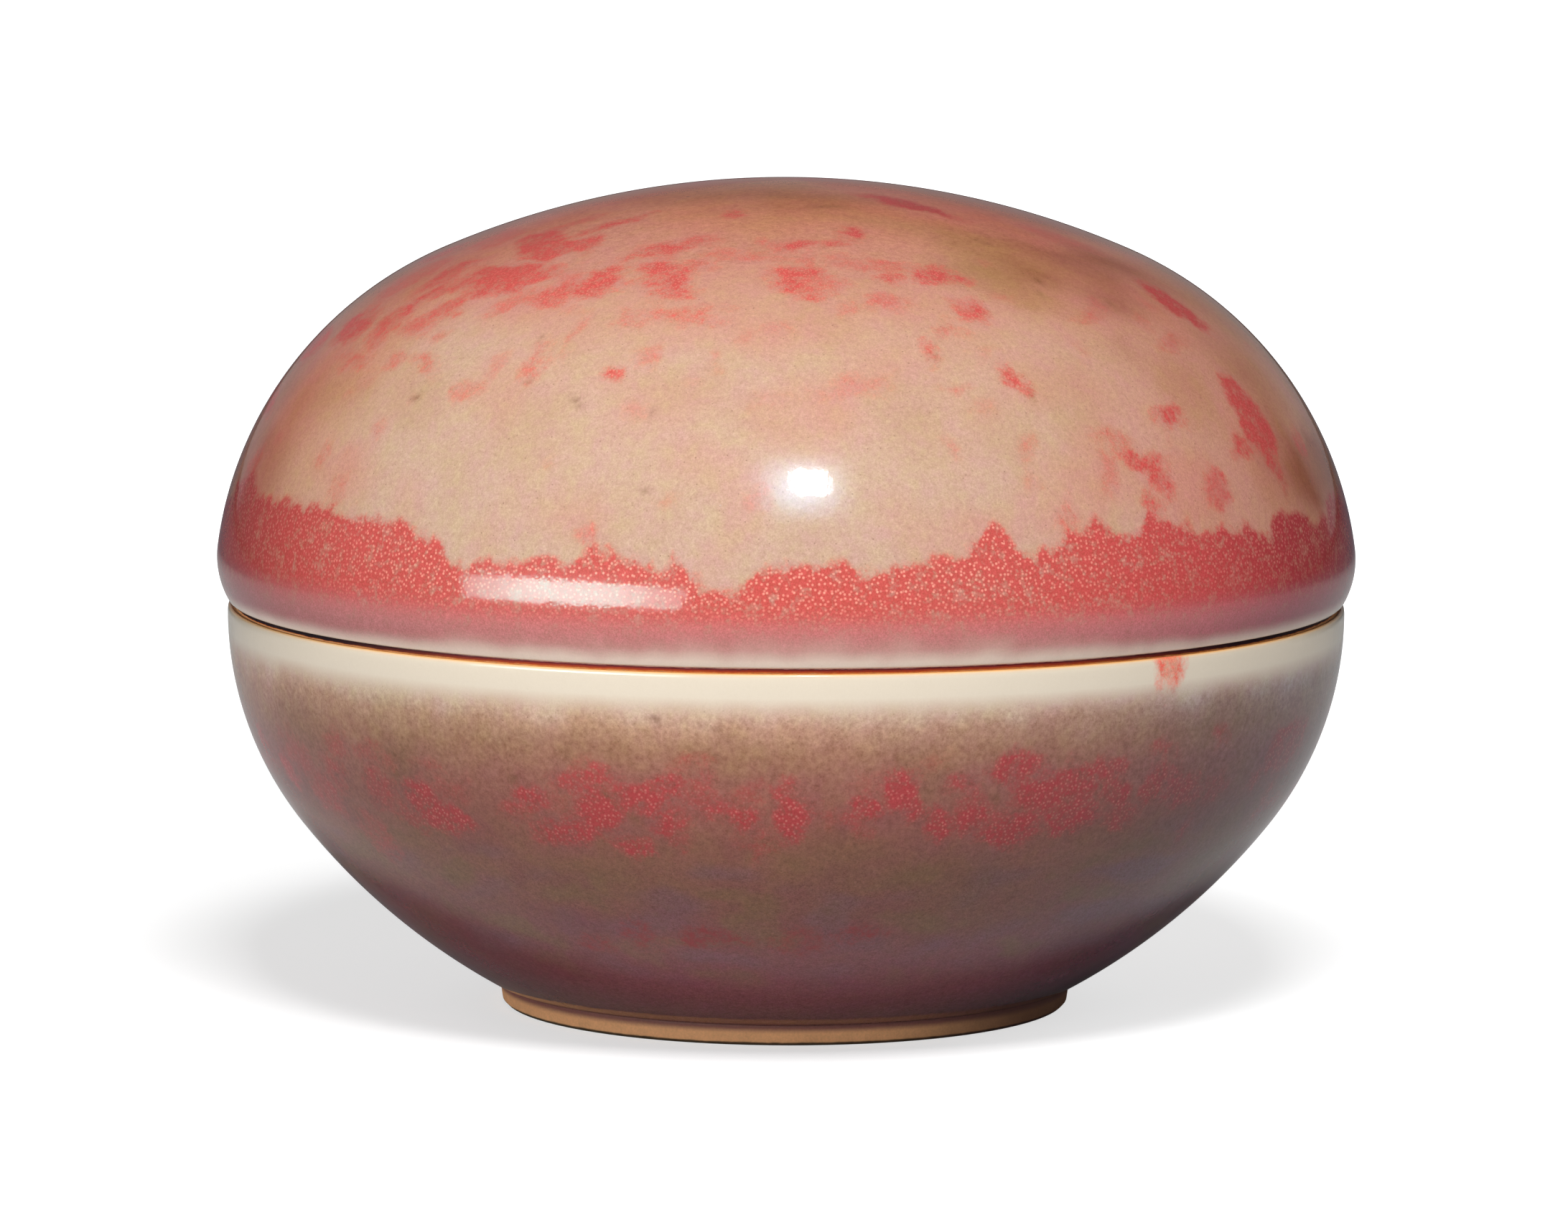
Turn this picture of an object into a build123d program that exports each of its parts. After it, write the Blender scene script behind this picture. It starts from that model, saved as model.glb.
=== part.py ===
from build123d import *

import os
from math import acos, asin, cos, degrees, radians, sin, sqrt
from typing import NamedTuple

# Seal paste box: a turned porcelain box with a domed cover, their fired glaze coats, and the
# cake of vermilion paste that the box keeps. Millimetres, +Z up, the origin on the turning
# axis in the plane of the foot. Every piece is turned, so each is a half section in the
# r, z plane that is swept about Z. An arc is told by the angle of its outward normal, from
# level at a widest circle to upright on the axis.

# Overall
COVER_RADIUS = 36.0  # the cover's widest circle, over its glaze
SEAM_HEIGHT = 25.7  # the plane where the two bare rims meet
OUTER_GLAZE = 0.35  # the coloured coat outside
LINING_GLAZE = 0.3  # the white coat inside and under the base
EDGE_BREAK = 0.2  # bevel along the bare turned edges

# Cover, outside
SHOULDER_RISE = 2.8  # the widest circle stands this far above the seam
SHOULDER_RADIUS = 5.2
SHOULDER_ANGLE = 7.7
HAUNCH_RADIUS = 23.6
HAUNCH_ANGLE = 66.5
COVER_GLAZE_STOP = 0.12  # the coat ends this far above the seam

# Cover, inside
COVER_WALL = 2.7  # porcelain alone, at the widest circle
LINING_CLEARANCE = 0.8  # the lining starts this far above the box's flange

# Box, outside
BOWL_SWELL = 0.15  # the box's widest circle stands this far outside the seam
BOWL_LIP_RADIUS = 1.6
BOWL_WALL_ANGLE = -38.0  # the wall's arc turns this far down, and the arc to the foot goes on
BOWL_FOOT_ANGLE = -61.5
BOWL_GLAZE_STOP = 0.2  # the coat ends this far under the seam

# Flange that locates the cover
FLANGE_HEIGHT = 2.8
FLANGE_WALL = 1.4
MOUTH_PLAY = 0.45  # radial play of the cover round the flange

# Box, inside
FLOOR_HEIGHT = 5.3  # top of the porcelain floor

# Foot ring and recessed base
FOOT_RADIUS = 18.1
FOOT_HEIGHT = 1.2
FOOT_TAPER = 0.15
FOOT_WIDTH = 2.1
BASE_RECESS = 2.0  # from the foot's plane up to the glazed base
GLAZE_POOL = 0.8  # the coat gathers this far into the corner of the recess

# Paste
PASTE_RADIUS = 22.0
PASTE_BELLY_HEIGHT = 11.6
PASTE_SIDE_RADIUS = 5.6
PASTE_CROWN_ANGLE = 64.0
PASTE_TUCK_ANGLE = -58.0

LEVEL = 0.0
UPRIGHT = 90.0
SAME_POINT = 1e-6


class Bend(NamedTuple):
    """An arc of a half section: its centre, its radius and the angles of its normals."""

    centre_r: float
    centre_z: float
    radius: float
    start: float
    end: float

    def point(self, angle, inset=0.0):
        reach = self.radius - inset
        return (
            self.centre_r + reach * cos(radians(angle)),
            self.centre_z + reach * sin(radians(angle)),
        )

    def edge(self, inset=0.0):
        """The arc as an edge, moved in by the inset."""
        angles = (self.start, (self.start + self.end) / 2, self.end)
        return ThreePointArc(*(Vector(r, 0, z) for r, z in (self.point(a, inset) for a in angles)))

    def back(self, inset=0.0):
        """The same edge, walked from its end to its start."""
        return self._replace(start=self.end, end=self.start).edge(inset)

    def angle_at_height(self, height, inset=0.0):
        return degrees(asin((height - self.centre_z) / (self.radius - inset)))

    def angle_below_at(self, radius, inset=0.0):
        """The angle at which the lower half of the arc passes through that radius."""
        return -degrees(acos((radius - self.centre_r) / (self.radius - inset)))


def bend_from(point, radius, start, end):
    """The arc of that radius whose normal has the start angle at the point."""
    centre_r = point[0] - radius * cos(radians(start))
    centre_z = point[1] - radius * sin(radians(start))
    return Bend(centre_r, centre_z, radius, start, end)


def two_bends(point, target, start, middle, end):
    """Two arcs in a smooth run from the point to the target, with the angles given.

    An arc goes from its start to its end by its radius times the change of its unit normal, so
    the two radii are what makes the two steps add up to the way from the point to the target.
    """
    normals = [(cos(radians(angle)), sin(radians(angle))) for angle in (start, middle, end)]
    step_a, step_b = [(q[0] - p[0], q[1] - p[1]) for p, q in zip(normals, normals[1:])]
    way = (target[0] - point[0], target[1] - point[1])
    area = step_a[0] * step_b[1] - step_a[1] * step_b[0]
    radius_a = (way[0] * step_b[1] - way[1] * step_b[0]) / area
    radius_b = (step_a[0] * way[1] - step_a[1] * way[0]) / area
    first = bend_from(point, radius_a, start, middle)
    return first, bend_from(first.point(middle), radius_b, middle, end)


def bend_to_axis(point, start):
    """The arc that closes a dome: its centre is on the axis, so it ends level there."""
    return bend_from(point, point[0] / cos(radians(start)), start, UPRIGHT)


def bend_to_level(point, start, height):
    """The arc that runs down from the point and ends level at the height."""
    return bend_from(point, (point[1] - height) / (1 + sin(radians(start))), start, -UPRIGHT)


def turned(*steps):
    """Sweeps a closed half section about Z. A step is a point (r, z) or an arc's edge."""
    edges, first, here = [], None, None
    for step in steps:
        is_arc = isinstance(step, Edge)
        start = step @ 0 if is_arc else Vector(step[0], 0, step[1])
        if here is not None and (start - here).length > SAME_POINT:
            edges.append(Line(here, start))
        if is_arc:
            edges.append(step)
        first = start if first is None else first
        here = step @ 1 if is_arc else start
    if (first - here).length > SAME_POINT:
        edges.append(Line(here, first))
    return revolve(make_face(edges), axis=Axis.Z).solid()


# Cover: the outside arcs, from the lip at the seam up to the crown
COVER_SKIN = OUTER_GLAZE + COVER_WALL  # from the outside down to the bare inside
COVER_LINED = COVER_SKIN + LINING_GLAZE
MOUTH_RADIUS = COVER_RADIUS - COVER_SKIN
cover_widest = (COVER_RADIUS, SEAM_HEIGHT + SHOULDER_RISE)
cover_lip = bend_from(cover_widest, SHOULDER_RADIUS, LEVEL, LEVEL)
shoulder = bend_from(cover_widest, SHOULDER_RADIUS, LEVEL, SHOULDER_ANGLE)
haunch = bend_from(
    shoulder.point(SHOULDER_ANGLE), HAUNCH_RADIUS, SHOULDER_ANGLE, HAUNCH_ANGLE
)
crown = bend_to_axis(haunch.point(HAUNCH_ANGLE), HAUNCH_ANGLE)
cover_arcs = (shoulder, haunch, crown)
SEAM_RADIUS = cover_lip.point(cover_lip.angle_at_height(SEAM_HEIGHT))[0]

# Box: the outside arcs, from the lip at the seam down to the foot ring
BOWL_RADIUS = SEAM_RADIUS + BOWL_SWELL
BOWL_LIP_DROP = sqrt(BOWL_LIP_RADIUS**2 - (BOWL_LIP_RADIUS - BOWL_SWELL) ** 2)
bowl_widest = (BOWL_RADIUS, SEAM_HEIGHT - BOWL_LIP_DROP)
bowl_lip = bend_from(bowl_widest, BOWL_LIP_RADIUS, LEVEL, LEVEL)
bowl_wall, bowl_foot = two_bends(
    bowl_widest, (FOOT_RADIUS, FOOT_HEIGHT), LEVEL, BOWL_WALL_ANGLE, BOWL_FOOT_ANGLE
)
# The porcelain under the coat runs on to the same circle of the foot ring
bowl_foot_under = bowl_foot._replace(
    end=bowl_foot.angle_below_at(FOOT_RADIUS, OUTER_GLAZE)
)

# Box: the inside, upright under the flange, then along the outer wall, then into a level floor
FLANGE_RADIUS = MOUTH_RADIUS - MOUTH_PLAY
FLANGE_TOP = SEAM_HEIGHT + FLANGE_HEIGHT
INSIDE_RADIUS = FLANGE_RADIUS - FLANGE_WALL
BOWL_SKIN = BOWL_RADIUS - INSIDE_RADIUS
inner_wall = bowl_wall._replace(radius=bowl_wall.radius - BOWL_SKIN)
inner_floor = bend_to_level(inner_wall.point(BOWL_WALL_ANGLE), BOWL_WALL_ANGLE, FLOOR_HEIGHT)
LINED_TOP = FLANGE_TOP - EDGE_BREAK
LINED_RADIUS = INSIDE_RADIUS - LINING_GLAZE
LINED_FLOOR = FLOOR_HEIGHT + LINING_GLAZE

# Foot: a ring round the recessed base
RECESS_RADIUS = FOOT_RADIUS - FOOT_WIDTH
BARE_BASE = BASE_RECESS + LINING_GLAZE


def make_cover_body():
    """The cover's porcelain: a dome of even wall, with a flat bare rim round its mouth."""
    rim = cover_lip._replace(start=cover_lip.angle_at_height(SEAM_HEIGHT, OUTER_GLAZE))
    return turned(
        (MOUTH_RADIUS + EDGE_BREAK, SEAM_HEIGHT),
        rim.edge(OUTER_GLAZE),
        *(arc.edge(OUTER_GLAZE) for arc in cover_arcs),
        *(arc.back(COVER_SKIN) for arc in reversed(cover_arcs)),
        (MOUTH_RADIUS, SEAM_HEIGHT + EDGE_BREAK),
    )


def make_cover_glaze():
    """The coloured coat over the dome, which stops just short of the seam."""
    stop = SEAM_HEIGHT + COVER_GLAZE_STOP
    outside = cover_lip._replace(start=cover_lip.angle_at_height(stop))
    inside = cover_lip._replace(start=cover_lip.angle_at_height(stop, OUTER_GLAZE))
    return turned(
        outside.edge(),
        *(arc.edge() for arc in cover_arcs),
        *(arc.back(OUTER_GLAZE) for arc in reversed(cover_arcs)),
        inside.back(OUTER_GLAZE),
    )


def make_cover_lining():
    """The white coat inside the dome, which leaves the mouth bare for the flange."""
    whole = turned(
        (MOUTH_RADIUS, SEAM_HEIGHT),
        *(arc.edge(COVER_SKIN) for arc in cover_arcs),
        *(arc.back(COVER_LINED) for arc in reversed(cover_arcs)),
        (MOUTH_RADIUS - LINING_GLAZE, SEAM_HEIGHT),
    )
    return split(whole, Plane.XY.offset(FLANGE_TOP + LINING_CLEARANCE), keep=Keep.TOP)


def make_box_body():
    """The box's porcelain: flange, ledge for the cover, bowl, and foot ring."""
    rim = bowl_lip._replace(start=bowl_lip.angle_at_height(SEAM_HEIGHT, OUTER_GLAZE))
    foot_bottom_radius = FOOT_RADIUS - FOOT_TAPER
    return turned(
        (0, FLOOR_HEIGHT),
        inner_floor.back(),
        inner_wall.back(),
        (INSIDE_RADIUS, LINED_TOP),
        (INSIDE_RADIUS + EDGE_BREAK, FLANGE_TOP),
        (FLANGE_RADIUS - EDGE_BREAK, FLANGE_TOP),
        (FLANGE_RADIUS, FLANGE_TOP - EDGE_BREAK),
        (FLANGE_RADIUS, SEAM_HEIGHT),
        rim.edge(OUTER_GLAZE),
        bowl_wall.edge(OUTER_GLAZE),
        bowl_foot_under.edge(OUTER_GLAZE),
        (FOOT_RADIUS, FOOT_HEIGHT),
        (foot_bottom_radius, EDGE_BREAK),
        (foot_bottom_radius - EDGE_BREAK, 0),
        (RECESS_RADIUS + EDGE_BREAK, 0),
        (RECESS_RADIUS, EDGE_BREAK),
        (RECESS_RADIUS, BARE_BASE),
        (0, BARE_BASE),
    )


def make_box_glaze():
    """The coloured coat on the bowl, from just under the seam to the foot ring."""
    stop = SEAM_HEIGHT - BOWL_GLAZE_STOP
    outside = bowl_lip._replace(start=bowl_lip.angle_at_height(stop))
    inside = bowl_lip._replace(start=bowl_lip.angle_at_height(stop, OUTER_GLAZE))
    return turned(
        outside.edge(),
        bowl_wall.edge(),
        bowl_foot.edge(),
        bowl_foot_under.back(OUTER_GLAZE),
        bowl_wall.back(OUTER_GLAZE),
        inside.back(OUTER_GLAZE),
    )


def make_box_lining():
    """The white coat in the bowl, up to the bevel inside the flange."""
    return turned(
        (INSIDE_RADIUS, LINED_TOP),
        inner_wall.edge(),
        inner_floor.edge(),
        (0, FLOOR_HEIGHT),
        (0, LINED_FLOOR),
        inner_floor.back(LINING_GLAZE),
        inner_wall.back(LINING_GLAZE),
        (LINED_RADIUS, LINED_TOP),
    )


def make_base_glaze():
    """The white coat on the recessed base, pooled in the corner against the foot ring."""
    pool = Bend(
        RECESS_RADIUS - GLAZE_POOL, BASE_RECESS - GLAZE_POOL, GLAZE_POOL, LEVEL, UPRIGHT
    )
    return turned(
        (0, BARE_BASE), (RECESS_RADIUS, BARE_BASE), pool.edge(), (0, BASE_RECESS)
    )


def make_seal_paste():
    """A bun of paste heaped on the floor of the bowl, clear of the wall."""
    belly = (PASTE_RADIUS, PASTE_BELLY_HEIGHT)
    side = bend_from(belly, PASTE_SIDE_RADIUS, LEVEL, PASTE_CROWN_ANGLE)
    tuck = side._replace(end=PASTE_TUCK_ANGLE)
    top = bend_to_axis(side.point(PASTE_CROWN_ANGLE), PASTE_CROWN_ANGLE)
    bun = turned(top.back(), side.back(), tuck.edge(), (0, 0))
    room = turned(
        (0, LINED_FLOOR),
        inner_floor.back(LINING_GLAZE),
        inner_wall.back(LINING_GLAZE),
        (LINED_RADIUS, FLANGE_TOP),
        (0, FLANGE_TOP),
    )
    return bun & room


PIECES = {
    "box_body": make_box_body,
    "box_outer_glaze": make_box_glaze,
    "box_lining_glaze": make_box_lining,
    "base_glaze": make_base_glaze,
    "cover_body": make_cover_body,
    "cover_outer_glaze": make_cover_glaze,
    "cover_lining_glaze": make_cover_lining,
    "seal_paste": make_seal_paste,
}

os.makedirs("parts", exist_ok=True)
for name, make in PIECES.items():
    export_step(make(), f"parts/{name}.step")
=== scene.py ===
# %% [markdown]
# A seal paste box in mottled red glaze
#
# The real object is a small turned porcelain box, 72 mm across, that keeps the vermilion paste for
# a seal. A domed cover sits on a low bowl. Its copper glaze fires to beige, rose, red and olive in
# one kiln, so nearly all of its character is paint and polish: turned shapes with soft edges, marks
# placed one by one, and a studio whose reflections tell that the surface is glass.
#
# This cell loads the imported model. Its nodes stay where they are, and some of them are replaced by
# finer pieces in the same place.

# %% Load the frame
import random
from math import asin, cos, degrees, pi, radians, sin, sqrt, tan
from typing import NamedTuple

import bmesh
import bpy
import numpy as np
from mathutils import Matrix, Quaternion, Vector, noise


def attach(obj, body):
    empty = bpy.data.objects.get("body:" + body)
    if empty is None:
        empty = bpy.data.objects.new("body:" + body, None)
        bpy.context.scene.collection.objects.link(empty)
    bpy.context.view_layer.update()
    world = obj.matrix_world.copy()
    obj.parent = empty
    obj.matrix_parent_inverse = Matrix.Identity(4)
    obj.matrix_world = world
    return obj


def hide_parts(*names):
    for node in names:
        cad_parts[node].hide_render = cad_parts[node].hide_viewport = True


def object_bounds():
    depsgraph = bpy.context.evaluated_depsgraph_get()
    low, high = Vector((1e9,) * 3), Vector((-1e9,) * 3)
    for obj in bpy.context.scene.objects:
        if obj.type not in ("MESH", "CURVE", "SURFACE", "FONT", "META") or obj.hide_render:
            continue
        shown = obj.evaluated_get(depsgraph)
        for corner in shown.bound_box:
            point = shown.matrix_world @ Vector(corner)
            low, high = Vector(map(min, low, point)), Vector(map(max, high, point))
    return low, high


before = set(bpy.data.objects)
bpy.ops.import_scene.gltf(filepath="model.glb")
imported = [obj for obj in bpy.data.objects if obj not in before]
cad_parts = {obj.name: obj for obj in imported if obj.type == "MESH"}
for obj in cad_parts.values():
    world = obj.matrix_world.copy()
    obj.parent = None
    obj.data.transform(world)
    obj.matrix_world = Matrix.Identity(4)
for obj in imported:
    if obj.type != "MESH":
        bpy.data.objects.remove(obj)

CAD_BOX = [list(corner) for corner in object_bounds()]
MM = 0.001
scene = bpy.context.scene
print("CAD box in mm:", [[round(x / MM, 2) for x in corner] for corner in CAD_BOX])

# %% [markdown]
# The camera stands where the photographer stood: about 0.6 m away and 7 degrees above the table,
# with a long lens, so the seam and the foot are flat ellipses. The lens is written as a number of
# the picture's 2184 pixels, and its millimetres follow from the sensor. A small shift moves the
# view sideways without turning it, and a hair of roll matches the tilt of the picture.

# %% Camera
PICTURE_WIDTH = 2184
SENSOR_WIDTH = 36.0
FOCAL_PIXELS = 13292.0
CENTRE_RIGHT_BY = 2.92  # pixels by which the turning axis is right of the picture's middle
CAMERA_BACK = 600.1 * MM
CAMERA_UP = 100.8 * MM
CAMERA_PITCH = 0.1259
CAMERA_ROLL = 0.0039

lens = bpy.data.cameras.new("studio_camera")
lens.sensor_fit = "HORIZONTAL"
lens.sensor_width = SENSOR_WIDTH
lens.lens = FOCAL_PIXELS * SENSOR_WIDTH / PICTURE_WIDTH
lens.shift_x = -CENTRE_RIGHT_BY / PICTURE_WIDTH
lens.clip_start = 10 * MM
lens.clip_end = 20.0
camera = bpy.data.objects.new("studio_camera", lens)
camera.matrix_world = (
    Matrix.Translation((0, -CAMERA_BACK, CAMERA_UP))
    @ Matrix.Rotation(pi / 2 - CAMERA_PITCH, 4, "X")
    @ Matrix.Rotation(CAMERA_ROLL, 4, "Z")
)
scene.collection.objects.link(camera)
scene.camera = camera
print("lens:", round(lens.lens, 1), "mm")

# %% [markdown]
# Light, table and glaze all use nodes, and a long list of links is hard to read. These helpers
# write one node in one line, with its inputs given as values or as links.

# %% Helpers for nodes
def new_tree(owner):
    """Turns on an owner's nodes, empties them, and returns the tree."""
    owner.use_nodes = True
    owner.node_tree.nodes.clear()
    return owner.node_tree


def put(tree, kind, sockets=None, **settings):
    """Adds a node, sets its settings, and fills sockets with values or links."""
    made = tree.nodes.new("ShaderNode" + kind)
    for key, value in settings.items():
        setattr(made, key, value)
    for key, value in (sockets or {}).items():
        if isinstance(value, bpy.types.NodeSocket):
            tree.links.new(value, made.inputs[key])
        else:
            made.inputs[key].default_value = value
    return made


def calc(tree, operation, *values, clamp=False):
    return put(tree, "Math", dict(enumerate(values)), operation=operation, use_clamp=clamp).outputs[0]


def times(tree, first, *others, clamp=False):
    """The product of all the values."""
    for other in others:
        first = calc(tree, "MULTIPLY", first, other, clamp=clamp)
    return first


def total(tree, start, *terms):
    """The start plus each value times its share, from (value, share) pairs."""
    for value, share in terms:
        start = calc(tree, "MULTIPLY_ADD", value, share, start)
    return start


def fade(tree, value, low, high, at_low=0.0, at_high=1.0):
    """A smooth step of the value from one level to another."""
    return put(tree, "MapRange", {
        "Value": value, "From Min": low, "From Max": high, "To Min": at_low, "To Max": at_high,
    }, interpolation_type="SMOOTHSTEP").outputs[0]


def mix(tree, amount, under, tone, blend="MIX"):
    """Lays a tone over another by an amount from 0 to 1."""
    made = put(tree, "Mix", {0: amount, 6: under, 7: tone}, data_type="RGBA", blend_type=blend)
    return made.outputs[2]


# %% [markdown]
# A photograph of a glossy object is mostly a photograph of its studio. Two lamps can be read from
# their reflections on the glaze: a small softbox high in front, which leaves the white spot, and a
# long low one on the left, slightly tilted, which leaves the bar along the shoulder. Each is a pair
# here: one lamp lights the matt side of things, and the other is seen only by gloss, so the
# softness of the shadow and the size of the reflection can be set apart. A dim, blue, soft-edged
# lamp that only gloss can see gives the haze round the white spot. The fills leave no reflection.
# The helper places a lamp by its direction as seen from the object, the angles it covers, and how
# bright it looks, so its watts are worked out and never guessed.

# %% Lamps
WATTS_PER_BRIGHTNESS = pi  # an area lamp of one square metre needs this to look as bright as 1
AIM = Vector((0, 0, 26 * MM))
STRIP_ROLL = 2.7  # degrees by which the strip stands tilted on its stand


def direction(azimuth, elevation):
    """A unit vector: azimuth 0 is the front, and grows to the right."""
    a, e = radians(azimuth), radians(elevation)
    return Vector((sin(a) * cos(e), -cos(a) * cos(e), sin(e)))


def lamp(name, azimuth, elevation, wide, high, brightness, distance=1.2, glossy=True, diffuse=True):
    """An area lamp that covers wide x high degrees as seen from the object."""
    data = bpy.data.lights.new(name, "AREA")
    data.shape = "RECTANGLE"
    data.size = 2 * distance * tan(radians(wide / 2))
    data.size_y = 2 * distance * tan(radians(high / 2))
    data.energy = WATTS_PER_BRIGHTNESS * data.size * data.size_y * brightness
    made = bpy.data.objects.new(name, data)
    away = direction(azimuth, elevation)
    made.location = AIM + away * distance
    made.rotation_mode = "QUATERNION"
    made.rotation_quaternion = away.to_track_quat("Z", "Y")
    made.visible_camera = False
    made.visible_glossy = glossy
    made.visible_diffuse = diffuse
    scene.collection.objects.link(made)
    print(name, "-", round(data.energy, 2), "W")
    return made


def soften(made, sharp_across, sharp_up, low=0.0):
    """Lets a lamp's light fade from its middle to its rim; the sharp shares stay at full strength."""
    tree = new_tree(made.data)
    spot = put(tree, "SeparateXYZ", {0: put(tree, "NewGeometry").outputs["Parametric"]}).outputs
    faded = []
    for place, share in ((spot[0], sharp_across), (spot[1], sharp_up)):
        off_middle = calc(tree, "ABSOLUTE", total(tree, -1.0, (place, 2.0)))
        faded.append(fade(tree, off_middle, 1.0, share))
    level = total(tree, low, (times(tree, *faded), 1 - low))
    glow = put(tree, "Emission", {"Color": (1, 1, 1, 1), "Strength": level})
    put(tree, "OutputLight", {"Surface": glow.outputs[0]})


lamp("key_softbox", azimuth=5.0, elevation=51.5, wide=14, high=13, brightness=54, glossy=False)
lamp("key_reflection", azimuth=6.2, elevation=47.3, wide=5.0, high=7.3, brightness=42, diffuse=False)
haze = lamp("key_haze", azimuth=3.6, elevation=45.4, wide=21, high=24, brightness=12, diffuse=False)
haze.data.color = (0.36, 0.72, 1.0)
soften(haze, sharp_across=0.05, sharp_up=0.05)
lamp("left_strip", azimuth=-43, elevation=13, wide=46, high=8, brightness=11, glossy=False)
strip = lamp("strip_reflection", azimuth=-43.5, elevation=11.2, wide=46, high=6.6, brightness=14,
             diffuse=False)
strip.data.color = (0.42, 1.0, 0.95)
strip.rotation_quaternion @= Quaternion((0, 0, 1), radians(STRIP_ROLL))
soften(strip, sharp_across=0.2, sharp_up=0.96, low=0.4)
lamp("left_fill", azimuth=-95, elevation=20, wide=60, high=50, brightness=0.56, glossy=False)
lamp("right_fill", azimuth=38, elevation=10, wide=30, high=30, brightness=1.9, glossy=False)
lamp("back_fill", azimuth=180, elevation=35, wide=80, high=50, brightness=0.3, glossy=False)

# %% [markdown]
# The table is one white sheet. The camera sees it almost blown out, as a retouched product picture
# does, while the object sees a plain matt sheet that goes dark further out: the Light Path node
# tells the two apart. The world is white for the camera, an even dim room for matt surfaces, and
# for gloss a dark room with a low grey backdrop, which leaves the milky edges at the left and right
# of the box. The view transform is the plain one, so that white paper stays white.

# %% Table, room and view
TABLE_REACH = 6.0
PAPER_NEAR, PAPER_FAR = (0.45, 0.45, 0.45, 1), (0.12, 0.14, 0.17, 1)  # as the object sees it
PAPER_FADE = ((0.18, 0.0), (0.34, 1.0))  # (metres out, share of the far tone)
# For the camera the table glows: painted light that is a little weaker close to the foot, which paints a
# soft contact shade round it, and stronger to the right and far out.
TABLE_GLOW = ((0.012, 0.56), (0.025, 0.61))  # (metres out, glow) added for the camera only
GLOW_CENTRE = (0, -0.004, 0)
FAR_GLOW = ((0.07, 0.0), (0.30, 0.46))
RIGHT_GLOW = ((0.002, 0.0), (0.020, 0.10))  # (metres to the right, glow)
ROOM_TONE = (0.05, 0.05, 0.05, 1)
DARK_ROOM = (0.045, 0.045, 0.05, 1)
BACKDROP_TONE = (0.19, 0.195, 0.205, 1)
PAPER_WHITE = (1.2, 1.2, 1.2, 1)
BACKDROP_MIDDLE = 4.0  # degrees to the right of straight behind
BACKDROP_HALF = (29, 34)  # degrees to each side of its middle, where it ends
BACKDROP_TOP = (0.08, 0.42)  # sine of the elevation, from where it fades to where it is gone

scene.view_settings.view_transform = "Standard"
scene.view_settings.look = "None"

world = bpy.data.worlds.new("room")
scene.world = world
tree = new_tree(world)
path = put(tree, "LightPath")
toward = put(tree, "SeparateXYZ", {0: put(tree, "TexCoord").outputs["Generated"]}).outputs
turned = calc(tree, "ARCTAN2", toward[0], toward[1])
aside = calc(tree, "ABSOLUTE", calc(tree, "SUBTRACT", turned, radians(BACKDROP_MIDDLE)))
backdrop = fade(tree, aside, *[radians(a) for a in reversed(BACKDROP_HALF)])
backdrop = times(tree, backdrop, fade(tree, toward[2], *reversed(BACKDROP_TOP)))
tone = mix(tree, backdrop, DARK_ROOM, BACKDROP_TONE)
tone = mix(tree, path.outputs["Is Glossy Ray"], ROOM_TONE, tone)
tone = mix(tree, path.outputs["Is Camera Ray"], tone, PAPER_WHITE)
light = put(tree, "Background", {"Color": tone, "Strength": 1.0})
put(tree, "OutputWorld", {"Surface": light.outputs[0]})


def between(tree, value, stops):
    """A smooth step between two (place, level) stops."""
    (low, at_low), (high, at_high) = stops
    return fade(tree, value, low, high, at_low, at_high)


sheet = bpy.data.materials.new("table_sheet")
tree = new_tree(sheet)
path = put(tree, "LightPath")
place = put(tree, "TexCoord").outputs["Object"]
away = put(tree, "VectorMath", {0: place}, operation="LENGTH").outputs["Value"]
right = put(tree, "SeparateXYZ", {0: place}).outputs[0]
from_foot = put(tree, "VectorMath", {0: place, 1: GLOW_CENTRE}, operation="DISTANCE").outputs["Value"]
level = 0.0
for distance, stops in ((from_foot, TABLE_GLOW), (away, FAR_GLOW), (right, RIGHT_GLOW)):
    level = calc(tree, "ADD", level, between(tree, distance, stops))
paper = put(tree, "BsdfDiffuse", {"Color": PAPER_NEAR})
glow = put(tree, "Emission", {"Color": (1, 1, 1, 1), "Strength": level})
bright = put(tree, "AddShader", {0: paper.outputs[0], 1: glow.outputs[0]})
tone = mix(tree, between(tree, away, PAPER_FADE), PAPER_NEAR, PAPER_FAR)
matt = put(tree, "BsdfDiffuse", {"Color": tone})
seen = path.outputs["Is Camera Ray"]
mixed = put(tree, "MixShader", {0: seen, 1: matt.outputs[0], 2: bright.outputs[0]})
put(tree, "OutputMaterial", {"Surface": mixed.outputs[0]})

bm = bmesh.new()
bmesh.ops.create_grid(bm, x_segments=1, y_segments=1, size=TABLE_REACH)
table_mesh = bpy.data.meshes.new("table")
bm.to_mesh(table_mesh)
bm.free()
table_mesh.materials.append(sheet)
table = bpy.data.objects.new("table", table_mesh)
scene.collection.objects.link(table)
print("table:", 2 * TABLE_REACH, "m across")

# %% [markdown]
# Every piece of the box is turned, like the real one on its wheel. The half section is a chain of
# arcs with the sizes of the solid model. An arc is told by the angle of its outward normal: level
# at a widest circle, upright on the axis. Two arcs can share the way between two points only if
# their radii add up to it, which two_bends works out.

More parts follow.
